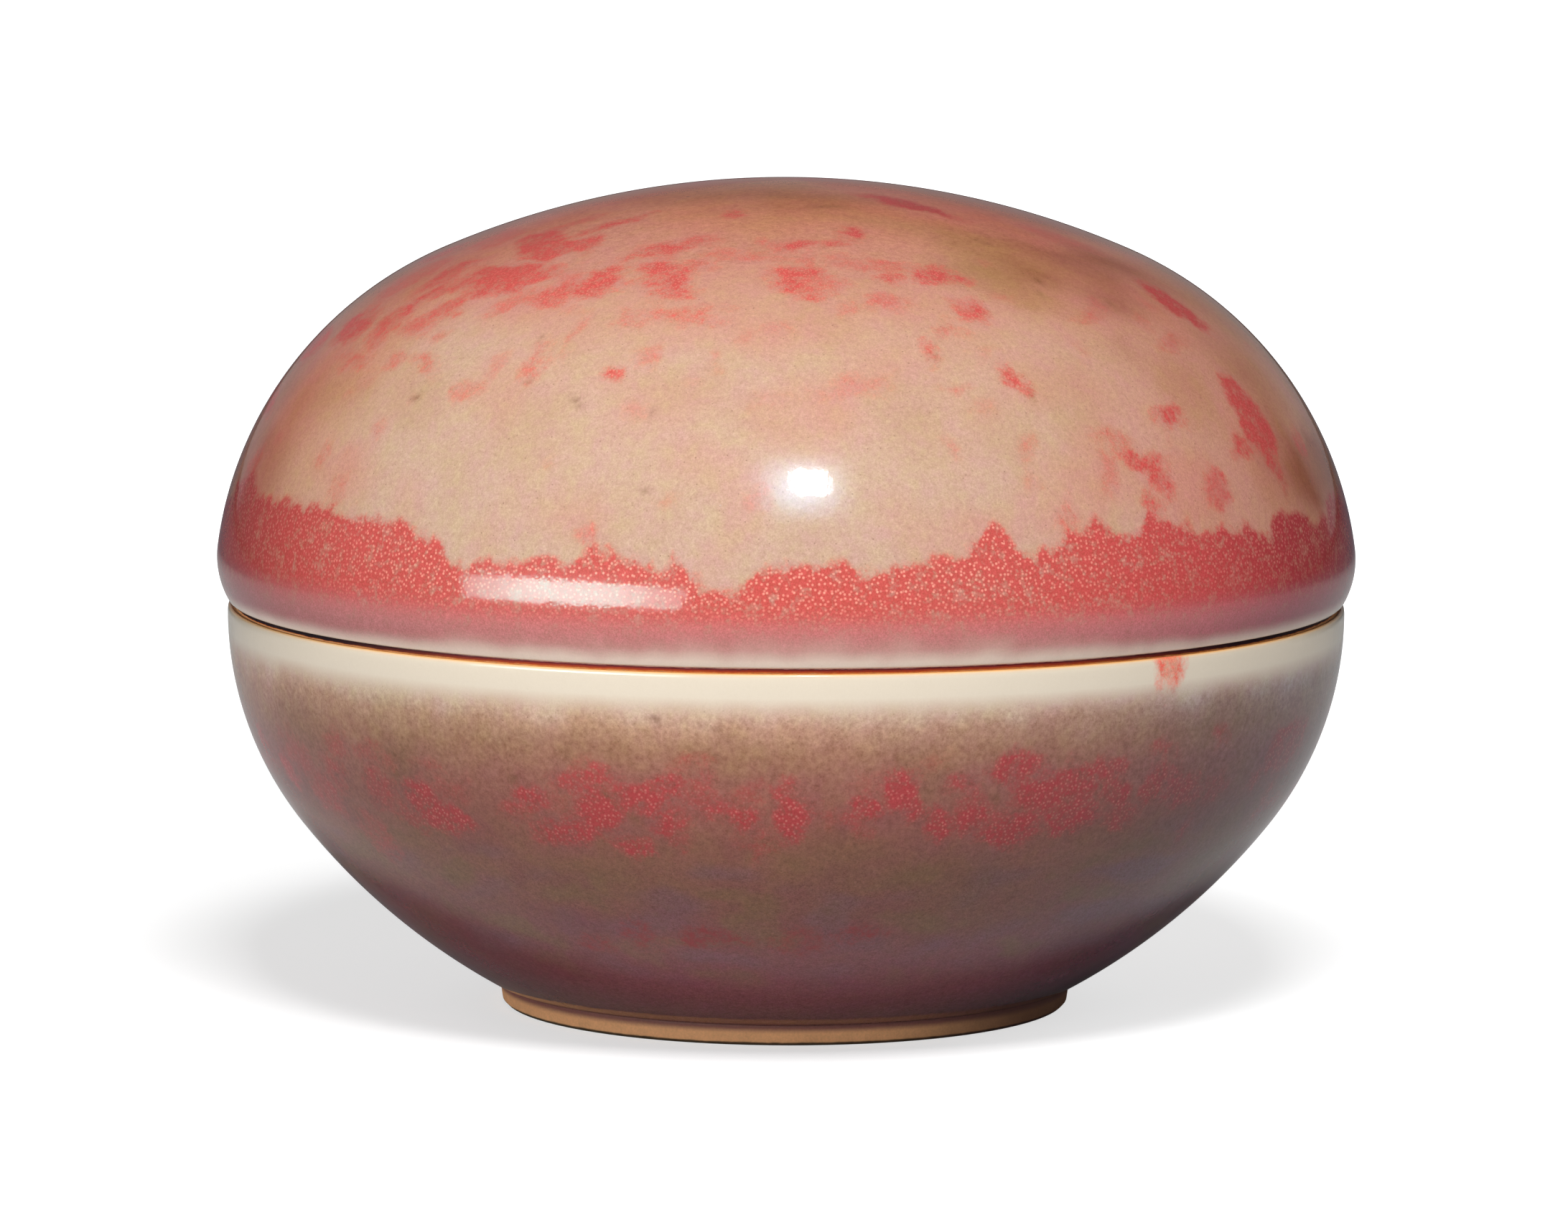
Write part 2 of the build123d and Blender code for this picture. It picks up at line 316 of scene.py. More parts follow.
# %% Sizes of the section
COVER_RADIUS = 36.0
SEAM_HEIGHT = 25.7
GLAZE = 0.35
SHOULDER_RISE, SHOULDER_RADIUS, SHOULDER_ANGLE = 2.8, 5.2, 7.7
HAUNCH_RADIUS, HAUNCH_ANGLE = 23.6, 66.5
BOWL_SWELL, BOWL_LIP_RADIUS = 0.15, 1.6
BOWL_WALL_ANGLE, BOWL_FOOT_ANGLE = -38.0, -61.5
FOOT_RADIUS, FOOT_HEIGHT = 18.1, 1.2
COVER_STOP, BOWL_STOP = 0.12, 0.2  # how far the coats stay from the seam


class Bend(NamedTuple):
    """An arc of a half section: its centre (r, z), radius and normals' angles, in mm and degrees."""

    centre: tuple
    radius: float
    start: float
    end: float

    def point(self, angle, inset=0.0):
        reach, a = self.radius - inset, radians(angle)
        return self.centre[0] + reach * cos(a), self.centre[1] + reach * sin(a)

    def length(self):
        return self.radius * radians(abs(self.end - self.start))


def bend_from(point, radius, start, end):
    """The arc of that radius whose normal has the start angle at the point."""
    a = radians(start)
    return Bend((point[0] - radius * cos(a), point[1] - radius * sin(a)), radius, start, end)


def two_bends(point, target, start, middle, end):
    """Two arcs in a smooth run from the point to the target."""
    normals = [(cos(radians(a)), sin(radians(a))) for a in (start, middle, end)]
    first, second = [(q[0] - p[0], q[1] - p[1]) for p, q in zip(normals, normals[1:])]
    way = (target[0] - point[0], target[1] - point[1])
    area = first[0] * second[1] - first[1] * second[0]
    radius_a = (way[0] * second[1] - way[1] * second[0]) / area
    radius_b = (first[0] * way[1] - first[1] * way[0]) / area
    upper = bend_from(point, radius_a, start, middle)
    return upper, bend_from(upper.point(middle), radius_b, middle, end)


# %% Arcs of the section
widest = (COVER_RADIUS, SEAM_HEIGHT + SHOULDER_RISE)
seam_angle = -degrees(asin(SHOULDER_RISE / SHOULDER_RADIUS))
shoulder = bend_from(widest, SHOULDER_RADIUS, 0, SHOULDER_ANGLE)._replace(start=seam_angle)
haunch = bend_from(shoulder.point(SHOULDER_ANGLE), HAUNCH_RADIUS, SHOULDER_ANGLE, HAUNCH_ANGLE)
crown_foot = haunch.point(HAUNCH_ANGLE)
crown = bend_from(crown_foot, crown_foot[0] / cos(radians(HAUNCH_ANGLE)), HAUNCH_ANGLE, 90)
COVER_ARCS = (shoulder, haunch, crown)

SEAM_RADIUS = shoulder.point(seam_angle)[0]
lip_drop = sqrt(BOWL_LIP_RADIUS**2 - (BOWL_LIP_RADIUS - BOWL_SWELL) ** 2)
bowl_widest = (SEAM_RADIUS + BOWL_SWELL, SEAM_HEIGHT - lip_drop)
lip_angle = degrees(asin(lip_drop / BOWL_LIP_RADIUS))
bowl_lip = bend_from(bowl_widest, BOWL_LIP_RADIUS, 0, 0)._replace(start=lip_angle)
bowl_wall, bowl_foot = two_bends(
    bowl_widest, (FOOT_RADIUS, FOOT_HEIGHT), 0, BOWL_WALL_ANGLE, BOWL_FOOT_ANGLE
)
BOWL_ARCS = (bowl_lip, bowl_wall, bowl_foot)
for name, arcs in (("cover", COVER_ARCS), ("bowl", BOWL_ARCS)):
    print(name, "runs", round(sum(arc.length() for arc in arcs), 2), "mm along its section")

# %% [markdown]
# A coat of glaze is a thin shell with a rounded, pooled edge. Its half section is drawn by spinning
# one vertex about the centre of each arc in turn, and the chain of edges that this leaves is then
# spun about the upright axis. The outer side gets fine steps, because its vertices also carry the
# marks of the glaze; the inner side is hidden against the porcelain and gets few.

# %% Helpers that draw and turn a section
TURNING_STEPS = 620
SAME_PLACE = 1e-7


def draw_chain(bm, start, legs):
    """Spins a vertex from the start (r, z) about each leg's centre, by its angle, in its steps."""
    vertex = bm.verts.new((start[0] * MM, 0, start[1] * MM))
    for (r, z), angle, steps in legs:
        made = bmesh.ops.spin(
            bm, geom=[vertex], cent=(r * MM, 0, z * MM), axis=(0, -1, 0),
            angle=radians(angle), steps=steps, use_merge=False, use_duplicate=False,
        )
        vertex = next(g for g in made["geom_last"] if isinstance(g, bmesh.types.BMVert))
    return vertex


def turn(bm, steps=TURNING_STEPS):
    """Spins the chain through a quarter turn, doubles that twice, and closes seams and poles.

    Spinning is slow on a large mesh, and copying is quick, so the quarter is copied.
    """
    chain = list(bm.verts) + list(bm.edges)
    bmesh.ops.spin(
        bm, geom=chain, cent=(0, 0, 0), axis=(0, 0, 1), angle=pi / 2, steps=steps // 4,
        use_merge=False, use_duplicate=False,
    )
    for angle in (pi / 2, pi):
        whole = list(bm.verts) + list(bm.edges) + list(bm.faces)
        copied = bmesh.ops.duplicate(bm, geom=whole)["geom"]
        verts = [g for g in copied if isinstance(g, bmesh.types.BMVert)]
        bmesh.ops.rotate(bm, verts=verts, cent=(0, 0, 0), matrix=Matrix.Rotation(angle, 3, "Z"))
    bmesh.ops.remove_doubles(bm, verts=bm.verts, dist=SAME_PLACE)
    bmesh.ops.recalc_face_normals(bm, faces=bm.faces)
    for face in bm.faces:
        face.smooth = True


def finish_mesh(bm, name):
    """Makes an object of the bmesh, at the origin, and says how large it is."""
    mesh = bpy.data.meshes.new(name)
    bm.to_mesh(mesh)
    bm.free()
    made = bpy.data.objects.new(name, mesh)
    scene.collection.objects.link(made)
    mesh.calc_loop_triangles()
    print(name, "-", len(mesh.loop_triangles), "triangles")
    return made


# %% [markdown]
# The cover's coat runs down its inside from the crown to the bead just above the seam, and back
# over the shoulder and the haunch. The bead is a half circle round the middle of the coat.

# %% Cover coat
BEAD = GLAZE / 2
FINE_LIP = 14  # degrees of the shoulder next to the seam that get fine steps
LIP_STEPS, HAUNCH_STEPS, CROWN_STEPS = (14, 12), 66, 34
BEAD_STEPS, HIDDEN_STEPS = 6, 9


def bead_at(arc, height):
    """The angle on an arc where a bead's middle lies at that height."""
    return degrees(asin((height - arc.centre[1]) / (arc.radius - BEAD)))


bead_angle = bead_at(shoulder, SEAM_HEIGHT + COVER_STOP + BEAD)
fine_end = bead_angle + FINE_LIP
legs = [(arc.centre, max(arc.start, bead_angle) - arc.end, HIDDEN_STEPS) for arc in COVER_ARCS[::-1]]
legs += [
    (shoulder.point(bead_angle, BEAD), 180, BEAD_STEPS),
    (shoulder.centre, fine_end - bead_angle, LIP_STEPS[0]),
    (shoulder.centre, shoulder.end - fine_end, LIP_STEPS[1]),
    (haunch.centre, haunch.end - haunch.start, HAUNCH_STEPS),
    (crown.centre, crown.end - crown.start, CROWN_STEPS),
]
bm = bmesh.new()
draw_chain(bm, crown.point(90, GLAZE), legs)
turn(bm)
cover_coat = finish_mesh(bm, "cover_coat")

# %% [markdown]
# The bowl's coat runs the other way: from a bead under the seam down the wall to a second bead on
# the shoulder of the foot ring, and back inside.

# %% Bowl coat
WALL_STEPS, FOOT_STEPS = 42, 46
BOWL_LIP_STEPS = (8, 2)  # outside and inside
FOOT_BEAD_BACK = 0.5  # degrees by which the lower bead stays behind the end of the arc

top_bead = bead_at(bowl_lip, SEAM_HEIGHT - BOWL_STOP - BEAD)
low_bead = BOWL_FOOT_ANGLE + FOOT_BEAD_BACK
bm = bmesh.new()
draw_chain(bm, bowl_lip.point(top_bead), (
    (bowl_lip.centre, -top_bead, BOWL_LIP_STEPS[0]),
    (bowl_wall.centre, BOWL_WALL_ANGLE, WALL_STEPS),
    (bowl_foot.centre, low_bead - BOWL_WALL_ANGLE, FOOT_STEPS),
    (bowl_foot.point(low_bead, BEAD), -180, BEAD_STEPS),
    (bowl_foot.centre, BOWL_WALL_ANGLE - low_bead, HIDDEN_STEPS),
    (bowl_wall.centre, -BOWL_WALL_ANGLE, HIDDEN_STEPS),
    (bowl_lip.centre, top_bead, BOWL_LIP_STEPS[1]),
    (bowl_lip.point(top_bead, BEAD), -180, BEAD_STEPS),
))
bmesh.ops.remove_doubles(bm, verts=bm.verts, dist=SAME_PLACE)
turn(bm)
bowl_coat = finish_mesh(bm, "bowl_coat")

for piece, body, node in (
    (cover_coat, "cover", "cover_outer_glaze"),
    (bowl_coat, "box", "box_outer_glaze"),
):
    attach(piece, body)
    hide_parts(node)

# %% [markdown]
# The glaze is painted like a map. A point of the coat is told by how far it is turned from
# the front, in degrees to the right, and by its run: the millimetres of skin between it and the
# seam. Both are worked out for each vertex from the arcs. Marks written as numbers need no image
# file, stay sharp at any distance, follow the surface, and can be moved one by one.

# %% Where each vertex lies on the skin
class Skin(NamedTuple):
    """The vertices of a coat: turn in degrees, run and radius in mm, and the points in mm."""

    turn: np.ndarray
    run: np.ndarray
    radius: np.ndarray
    points: np.ndarray
    arcs: tuple


def run_of(arcs, radius, height):
    """The run of points (radius, height) along the arcs, by the angle of their normals."""
    run = np.zeros_like(radius)
    for arc in arcs:
        angle = np.degrees(np.arctan2(height - arc.centre[1], radius - arc.centre[0]))
        share = np.clip((angle - arc.start) / (arc.end - arc.start), 0, 1)
        run += share * arc.length()
    return run


def skin_of(piece, arcs):
    points = np.empty(len(piece.data.vertices) * 3)
    piece.data.vertices.foreach_get("co", points)
    points = points.reshape(-1, 3) / MM
    radius = np.hypot(points[:, 0], points[:, 1])
    turned = np.degrees(np.arctan2(points[:, 0], -points[:, 1]))
    return Skin(turned, run_of(arcs, radius, points[:, 2]), radius, points, arcs)


def radius_at(arcs, run):
    """The radius of the coat at that run."""
    for arc in arcs:
        if run <= arc.length() or arc is arcs[-1]:
            share = run / arc.length()
            return arc.point(arc.start + share * (arc.end - arc.start))[0]
        run -= arc.length()


cover_skin = skin_of(cover_coat, COVER_ARCS)
bowl_skin = skin_of(bowl_coat, BOWL_ARCS)
for name, skin in (("cover", cover_skin), ("bowl", bowl_skin)):
    print(name, "-", len(skin.turn), "vertices, run to", round(skin.run.max(), 2), "mm")

# %% [markdown]
# Fired marks are never clean ellipses. Before a mark is looked up, the point is pushed about by a
# smooth noise field, so that the edge of every mark wanders. The field is seeded, so it is the same
# in every run.

# %% Wandering edges
WANDER = ((2.6, 0.36), (1.0, 0.22))  # size of the swirls and how far they push, in mm
SWIRL_SEED = 72  # noise_vector would differ in each run without a seed
HILL_HEIGHT = 1.6  # brings the noise to heights from about -1 to 1


def wandering(points, layers=WANDER):
    """A push in mm along the turn and along the run, for each point."""
    pushed = np.zeros((len(points), 3))
    for size, reach in layers:
        field = [noise.noise_vector(Vector(p) / size) for p in points]
        pushed += np.array(field) * (2 * reach)
    return pushed[:, 0], pushed[:, 1]


def hills(points, size, offset=0.0):
    """A smooth random height from about -1 to 1 for each point."""
    shift = Vector((offset, 0, 0))
    return np.array([noise.noise(Vector(p) / size + shift) for p in points]) * HILL_HEIGHT


noise.seed_set(SWIRL_SEED)
cover_push = wandering(cover_skin.points)
bowl_push = wandering(bowl_skin.points)
print("largest push:", round(float(np.abs(cover_push).max()), 2), "mm")

# %% [markdown]
# A mark is a row: turn, run, half turn and half run (degrees and mm), a depth from 0 (a blush) to 1
# (full colour), and perhaps a tilt in degrees. A dab lies on the crown and is seen from above: x to
# the right, y to the back and two half sizes in mm, a depth, and perhaps a tilt. The edge is kept
# as a distance in mm, positive inside, so that the material can add fine grain to it. Where marks
# meet, the deepest inside wins, and depths blend.

# %% Marks
NOWHERE = -9.0
BLEND = 0.18  # mm over which the depths of two marks blend
PULL_RANGE = (-3, 1.2)  # mm from a mark's edge between which its depth counts more and more
BLUSH = 2.4  # mm over which a soft blotch fades
BLUSH_CURVE = 1.5


def inside(across, along, half_across, half_along, tilt=0.0):
    """The distance in mm from the edge of an ellipse, positive inside it."""
    c, s = cos(radians(tilt)), sin(radians(tilt))
    u, v = c * across + s * along, c * along - s * across
    reach = np.hypot(u / half_across, v / half_along)
    return (1 - reach) * min(half_across, half_along)


def fields_of(skin, push, marks=(), dabs=()):
    """Yields the inside distance and the depth of each mark and dab."""
    for turn, run, half_turn, half_run, depth, *tilt in marks:
        middle = radius_at(skin.arcs, run)
        scale = radians(1) * middle
        across = (((skin.turn - turn + 180) % 360) - 180) * scale
        across = across * np.minimum(skin.radius / middle, 1.0) + push[0]
        along = skin.run - run + push[1]
        yield inside(across, along, half_turn * scale, half_run, *tilt), depth
    for x, y, half_x, half_y, depth, *tilt in dabs:
        across = skin.points[:, 0] - x + push[0]
        along = skin.points[:, 1] - y + push[1]
        yield inside(across, along, half_x, half_y, *tilt), depth


def gather(fields, count):
    """The edge of all marks together, and the depth of the ones that are nearest."""
    edge = np.full(count, NOWHERE)
    weight, depth = np.full(count, 1e-9), np.zeros(count)
    for distance, deep in fields:
        edge = np.maximum(edge, distance)
        pull = np.exp(np.clip(distance, *PULL_RANGE) / BLEND)
        weight += pull
        depth += pull * deep
    return edge, depth / weight


def tinge(fields, count, soft=BLUSH):
    """How strongly soft blotches colour each point, from 0 to 1."""
    clear = np.ones(count)
    for distance, deep in fields:
        clear *= 1 - deep * np.clip(0.5 + distance / soft, 0, 1) ** BLUSH_CURVE
    return 1 - clear


# %% [markdown]
# The red band round the cover's shoulder has a ragged upper edge, written as its run at each turn.
# Above it the red breaks into flakes and short runs that thin out toward the crown, denser on the
# left than on the right.

# %% Red on the cover: the band's upper edge
BAND_EDGE = (
    (-78, 8.6), (-75, 9.0), (-72, 9.0), (-70, 8.0), (-65, 8.0), (-60, 8.5), (-55, 8.2), (-50, 8.2),
    (-45, 7.9), (-42, 7.9), (-40, 7.6), (-38, 7.2), (-36, 6.8), (-35, 5.8), (-34, 5.6), (-32, 6.2),
    (-30, 6.2), (-28, 5.9), (-25, 6.6), (-24, 6.7), (-22, 6.3), (-20, 7.2), (-18, 7.2), (-16, 7.0),
    (-14, 6.5), (-12, 6.2), (-11, 7.0), (-10, 6.3), (-9, 5.6), (-7, 5.0), (-5, 4.6), (-4, 5.5), (-2, 6.2),
    (0, 6.4), (2, 6.7), (4, 6.5), (5, 6.9), (7, 6.4), (9, 6.0), (11, 6.2), (13, 6.6), (15, 6.8),
    (17, 7.0), (19, 7.4), (20, 8.5), (21, 9.0), (22, 8.3), (23, 7.5), (24, 6.8), (25, 6.6), (26, 6.9),
    (28, 7.5), (30, 7.8), (31, 8.8), (32, 9.0), (33, 8.8), (34, 8.0), (35, 7.6), (36, 7.2), (38, 8.0),
    (39, 9.0), (41, 8.4), (43, 7.9), (45, 7.4), (47, 7.2), (48, 7.8), (50, 7.2), (53, 7.4), (55, 6.9),
    (56.5, 6.0), (58, 7.4), (60, 7.8), (63, 7.8), (66, 7.5), (68, 6.5), (70, 7.0), (73, 7.5), (76, 8.0),
)

# %% Red on the cover: flakes on the side
SIDE_FLAKES = (
    (-72.5, 20.3, 4.5, 1.7, 0.9), (-75, 25.5, 4, 2.5, 0.5), (-65, 26.5, 2.5, 1.7, 0.75),
    (-60, 24.8, 2, 0.8, 0.6), (-63, 21.3, 2.5, 1.1, 0.65), (-61.8, 19.7, 1, 0.6, 0.6),
    (-64, 18, 3, 0.4, 0.55), (-52, 27.3, 7, 1.3, 0.95), (-46.5, 26, 3, 1, 0.85),
    (-57, 25.8, 3, 0.8, 0.65), (-50, 31, 4.6, 1.5, 0.95), (-53, 23.2, 2, 0.7, 0.75),
    (-56.5, 21.2, 3, 0.8, 0.55), (-36.5, 25.3, 3, 0.9, 0.7), (-31, 26.8, 3, 1.2, 0.85),
    (-37, 27.5, 1.5, 0.7, 0.45), (-22, 29.5, 4.5, 0.8, 0.9), (-17.5, 28, 2.3, 1.3, 0.9),
    (-23, 28.2, 1.6, 0.9, 0.6), (-18, 26.6, 2.8, 0.6, 0.75), (-15, 23.9, 4, 0.4, 0.65, -6),
    (-22, 23.6, 1.2, 0.4, 0.55), (-28.7, 22, 0.5, 1, 0.4), (-31.8, 19.6, 0.9, 1.2, 0.5),
    (-21, 19.1, 1.5, 0.7, 0.8), (-17, 20.5, 1, 0.6, 0.4), (-37.5, 19, 1, 0.7, 0.4),
    (-39.5, 17.2, 1.8, 0.7, 0.4), (-54, 18.4, 1.5, 0.5, 0.4), (-48.5, 18.8, 1.8, 0.5, 0.55),
    (-50, 20.9, 1, 0.5, 0.4), (-58, 11.6, 0.8, 0.8, 0.4), (-52.5, 9.7, 0.8, 0.6, 0.4),
    (-50, 13.5, 0.7, 0.6, 0.3), (-75, 9, 2.5, 1.5, 0.5), (-20.5, 8.2, 1.1, 0.7, 0.5),
    (4.5, 28.2, 4.2, 0.8, 0.55), (2, 27.6, 2.2, 0.9, 0.95), (3.5, 26.5, 1.5, 0.6, 0.7),
    (8, 25.3, 1, 0.7, 0.4), (14, 25.5, 2, 0.5, 0.55), (17, 28.6, 1.5, 0.8, 0.7),
    (23, 28.0, 1.4, 0.5, 0.8), (26.5, 28.7, 1.7, 0.6, 0.95, 10), (18, 30, 4.5, 0.6, 0.5),
    (13, 30, 1.6, 0.6, 0.55), (3, 31, 1.5, 0.7, 0.45), (27, 24.8, 1.6, 0.8, 0.85),
    (18.3, 21.2, 0.8, 0.8, 0.6), (21, 22.8, 1, 0.6, 0.45), (27.3, 18.8, 1, 0.7, 0.8),
    (28.9, 17.9, 1, 0.55, 0.9), (45, 23.3, 2.5, 0.5, 0.4), (57, 20.2, 2.5, 0.6, 0.4),
    (47, 14.8, 2.3, 0.6, 0.8), (37.5, 13.8, 1.8, 0.4, 0.6, -10), (40, 12.2, 3, 0.7, 0.85, -14),
    (42, 10.9, 1.4, 1, 0.8), (35, 11.5, 0.9, 0.9, 0.4), (39.5, 9, 0.8, 1, 0.8),
    (62.5, 13.8, 3.0, 2.4, 0.95), (57, 12.6, 2, 0.8, 0.75), (62.4, 11.2, 1, 2.0, 0.85),
    (62, 16.0, 2.0, 1.3, 0.85), (72, 12.2, 1.5, 1, 0.5), (66.5, 23.3, 3.3, 1.4, 0.95, -12),
    (50.5, 9.8, 2.2, 1.3, 0.6), (26.5, 13.7, 0.8, 0.6, 0.35), (18, 14, 0.7, 0.6, 0.3),
    (20, 18.2, 1.2, 0.4, 0.35), (8, 18.3, 3.4, 0.6, 0.3, 8), (29, 9, 0.7, 1.0, 0.5),
)

# %% Red on the cover: dabs on the crown
CROWN_DABS = (
    (7.6, -7, 3.2, 1.1, 1.0, -22), (24, -10, 2, 1.3, 0.95), (-15.5, -9.7, 1.5, 2.2, 0.95),
    (-15, -12, 1.6, 0.9, 0.8), (-18, -5.5, 1.6, 2.2, 0.45), (-17.6, -14.6, 2.1, 1.4, 0.95),
    (-15.8, -16.2, 1.7, 0.9, 0.75), (-12.3, -12.6, 1.3, 1.3, 0.8), (-21, -10, 1.8, 0.9, 0.55),
    (-24, -6.5, 1.5, 1.5, 0.5), (-26.5, -8.5, 1, 2, 0.5), (-22.4, -12, 1.9, 0.5, 0.8, 30),
    (-24.5, -12.8, 1.4, 0.7, 0.6), (-21, -15.5, 1.5, 0.8, 0.6), (-7.5, -16.2, 2.2, 0.6, 0.85, 6),
    (-8.0, -18.7, 1.2, 0.9, 0.9), (-5.2, -19.4, 0.6, 0.9, 0.6), (-8.2, -20.6, 1.6, 0.5, 0.65),
    (-5.5, -15.3, 0.9, 0.5, 0.7), (-4, -18, 1.2, 0.5, 0.5), (-13.5, -19, 1.5, 0.8, 0.75),
    (-11.3, -18.2, 1.1, 0.7, 0.85), (-16.5, -18.6, 1.4, 0.6, 0.45), (1.2, -16.6, 2.1, 0.7, 0.95, 8),
    (3.7, -14.6, 0.7, 0.8, 0.8), (-3.7, -11.3, 0.9, 0.7, 0.75), (-11, -9.8, 2.4, 0.5, 0.75, 14),
    (-13.6, -7.6, 1.8, 0.5, 0.45, 10), (0.8, -20.6, 1.5, 1.0, 0.95), (-1.6, -18.6, 1.4, 0.5, 0.5),
    (1.5, -22.5, 0.9, 0.6, 0.6), (3.5, -19, 1, 0.6, 0.5), (6.3, -18.3, 1.4, 0.5, 0.6, -16),
    (8.6, -19.7, 1, 0.6, 0.75), (9.4, -19.0, 1.5, 0.8, 0.95, 8), (11, -22.2, 1, 0.8, 0.6),
    (6, -23.3, 1, 0.5, 0.5), (-6.5, -24.3, 2, 0.4, 0.5), (17, -6.5, 2.4, 1.5, 0.35),
)
print(len(SIDE_FLAKES), "flakes and", len(CROWN_DABS), "dabs on the cover")

# %% [markdown]
# The bowl's red lies in one loose belt under its cream rim, with a faint second belt near the foot.
# The run is measured down from the seam here. One drop of red has run over the cream rim: two thin
# threads with a speckled skin between them.

# %% Red on the bowl
BOWL_FLAKES = (
    (-26.5, 8.6, 1.6, 0.9, 0.85), (-28.8, 9.8, 1.1, 0.6, 0.5), (-20.5, 7.2, 2.8, 0.7, 0.75),
    (-19.5, 9.3, 2.6, 1.5, 0.95), (-25, 11.3, 2.4, 0.7, 0.9), (-22, 10.6, 2, 0.7, 0.85),
    (-15, 8.2, 3, 0.8, 0.9), (-11.5, 7.4, 1.6, 0.8, 0.85), (-12.2, 10.2, 1.4, 1.4, 0.9),
    (-16.6, 11.8, 1.8, 0.6, 0.7), (-7.6, 8.4, 3.2, 0.6, 0.6), (-8.2, 6.8, 0.8, 0.5, 0.6),
    (-4.5, 9.3, 1.1, 0.6, 0.9), (1.0, 9.3, 2.0, 1.5, 1.0), (-0.2, 7.6, 1, 0.8, 0.7),
    (-38.5, 10.8, 3.6, 1.0, 0.95, 12), (-41, 9.4, 2, 0.9, 0.95), (-43.5, 11, 2, 0.8, 0.6),
    (-47, 9.5, 2, 1.5, 0.5), (-48, 7.0, 1.6, 0.8, 0.4), (-55, 8.2, 1.5, 0.6, 0.45),
    (-53, 6.5, 1.8, 0.9, 0.4), (-59, 10.5, 3, 1.4, 0.45), (-52, 13, 3, 1.4, 0.35),
    (-62, 8, 2.6, 1.2, 0.4), (11.5, 7.6, 1.6, 1.3, 0.95), (8.3, 8.8, 1.1, 0.8, 0.8),
    (13, 8.8, 1.2, 0.8, 0.8), (16.5, 10, 1.7, 1.1, 0.85), (19.5, 9.4, 1.6, 1.2, 0.85),
    (18, 7.3, 1.3, 0.6, 0.6), (23.5, 6.3, 2.4, 1, 0.85), (27, 8.3, 3.2, 1.4, 0.85),
    (24, 10.7, 3, 1.2, 0.9), (31, 7.6, 2.6, 1.4, 0.75), (31, 10, 3, 1.2, 0.75), (34.5, 6.9, 2, 0.8, 0.65),
    (36.5, 8.6, 1.8, 0.9, 0.7), (38, 10.2, 2.4, 0.9, 0.5), (41.5, 8.4, 1.2, 1.2, 0.55),
    (45.5, 8.6, 2.6, 1.0, 0.5), (51, 9.2, 2.2, 1.0, 0.35), (-19, 19.6, 2.2, 1.7, 0.45),
    (-26, 20.8, 2.4, 0.7, 0.4), (-9, 19.8, 4.4, 1.1, 0.6), (2, 20.1, 4, 1.4, 0.35),
    (9, 19.4, 2.4, 0.7, 0.55),
)
RED_DRIP = (
    (41.3, 0.5, 1.6, 1.15, 0.6), (39.8, 0.7, 0.32, 0.75, 1.0, -14), (42.6, 0.8, 0.32, 0.8, 1.0, 16),
)
print(len(BOWL_FLAKES), "flakes on the bowl")

# %% [markdown]
# Nothing is known about the back, so it goes on alike: flakes of the same sizes, placed by a
# seeded generator. The same generator scatters faint crumbs of red between the larger marks.

# %% The back, and crumbs all round
HAND = random.Random(72)


def between_them(count, turns, runs, half_turns, half_runs, depths, tilts=(-20, 20)):
    """A number of marks or dabs within these pairs of limits."""
    limits = (turns, runs, half_turns, half_runs, depths, tilts)
    return tuple(tuple(HAND.uniform(*pair) for pair in limits) for _ in range(count))


BACK_FLAKES = between_them(62, (82, 278), (10, 31), (0.8, 4.5), (0.4, 1.6), (0.35, 0.95))
BACK_BOWL = between_them(50, (62, 298), (6.5, 12), (1, 4.5), (0.5, 1.7), (0.4, 0.9))
BACK_DABS = between_them(36, (-22, 22), (1, 23), (0.8, 2.4), (0.5, 1.8), (0.4, 0.95), (-40, 40))
CRUMBS = (
    between_them(36, (-80, 10), (22, 34), (0.5, 1.5), (0.25, 0.5), (0.15, 0.4))
    + between_them(14, (-80, 0), (10, 21), (0.4, 1.0), (0.25, 0.5), (0.1, 0.3))
    + between_them(14, (20, 78), (9, 30), (0.4, 1.2), (0.25, 0.5), (0.15, 0.35))
)
BOWL_CRUMBS = between_them(60, (-75, 60), (5.5, 12.5), (0.5, 1.6), (0.3, 0.6), (0.2, 0.5))
print(len(CRUMBS) + len(BOWL_CRUMBS), "crumbs and", len(BACK_FLAKES) + len(BACK_BOWL), "marks behind")

# %% [markdown]
# The ground under the red is a run of tones from the seam outward. They are written as they look on
# the table, in the usual 0 to 255 scale, and divided by how strongly the studio lights them, which
# leaves the paint. Tints by turn make the glaze darker, redder and browner toward the left and
# right: painted shade where the studio light falls off the sides, which fades again toward the
# back. Soft blotches of olive, brown, rose and wine go over the ground before the red does.

# %% Tones
PAINT_LIGHT = 1.25
BRIGHTEST = 0.93


def paint(red, green, blue, light=PAINT_LIGHT):
    """Linear paint of a tone that looks like this in the studio."""
    seen = np.array([red, green, blue]) / 255
    linear = np.where(seen <= 0.04045, seen / 12.92, ((seen + 0.055) / 1.055) ** 2.4)
    return np.clip(linear / light, 0, BRIGHTEST)


def painted(*rows):
    """Stops of painted tones, from rows of a place in mm and a tone."""
    return tuple((place, paint(*tone)) for place, *tone in rows)


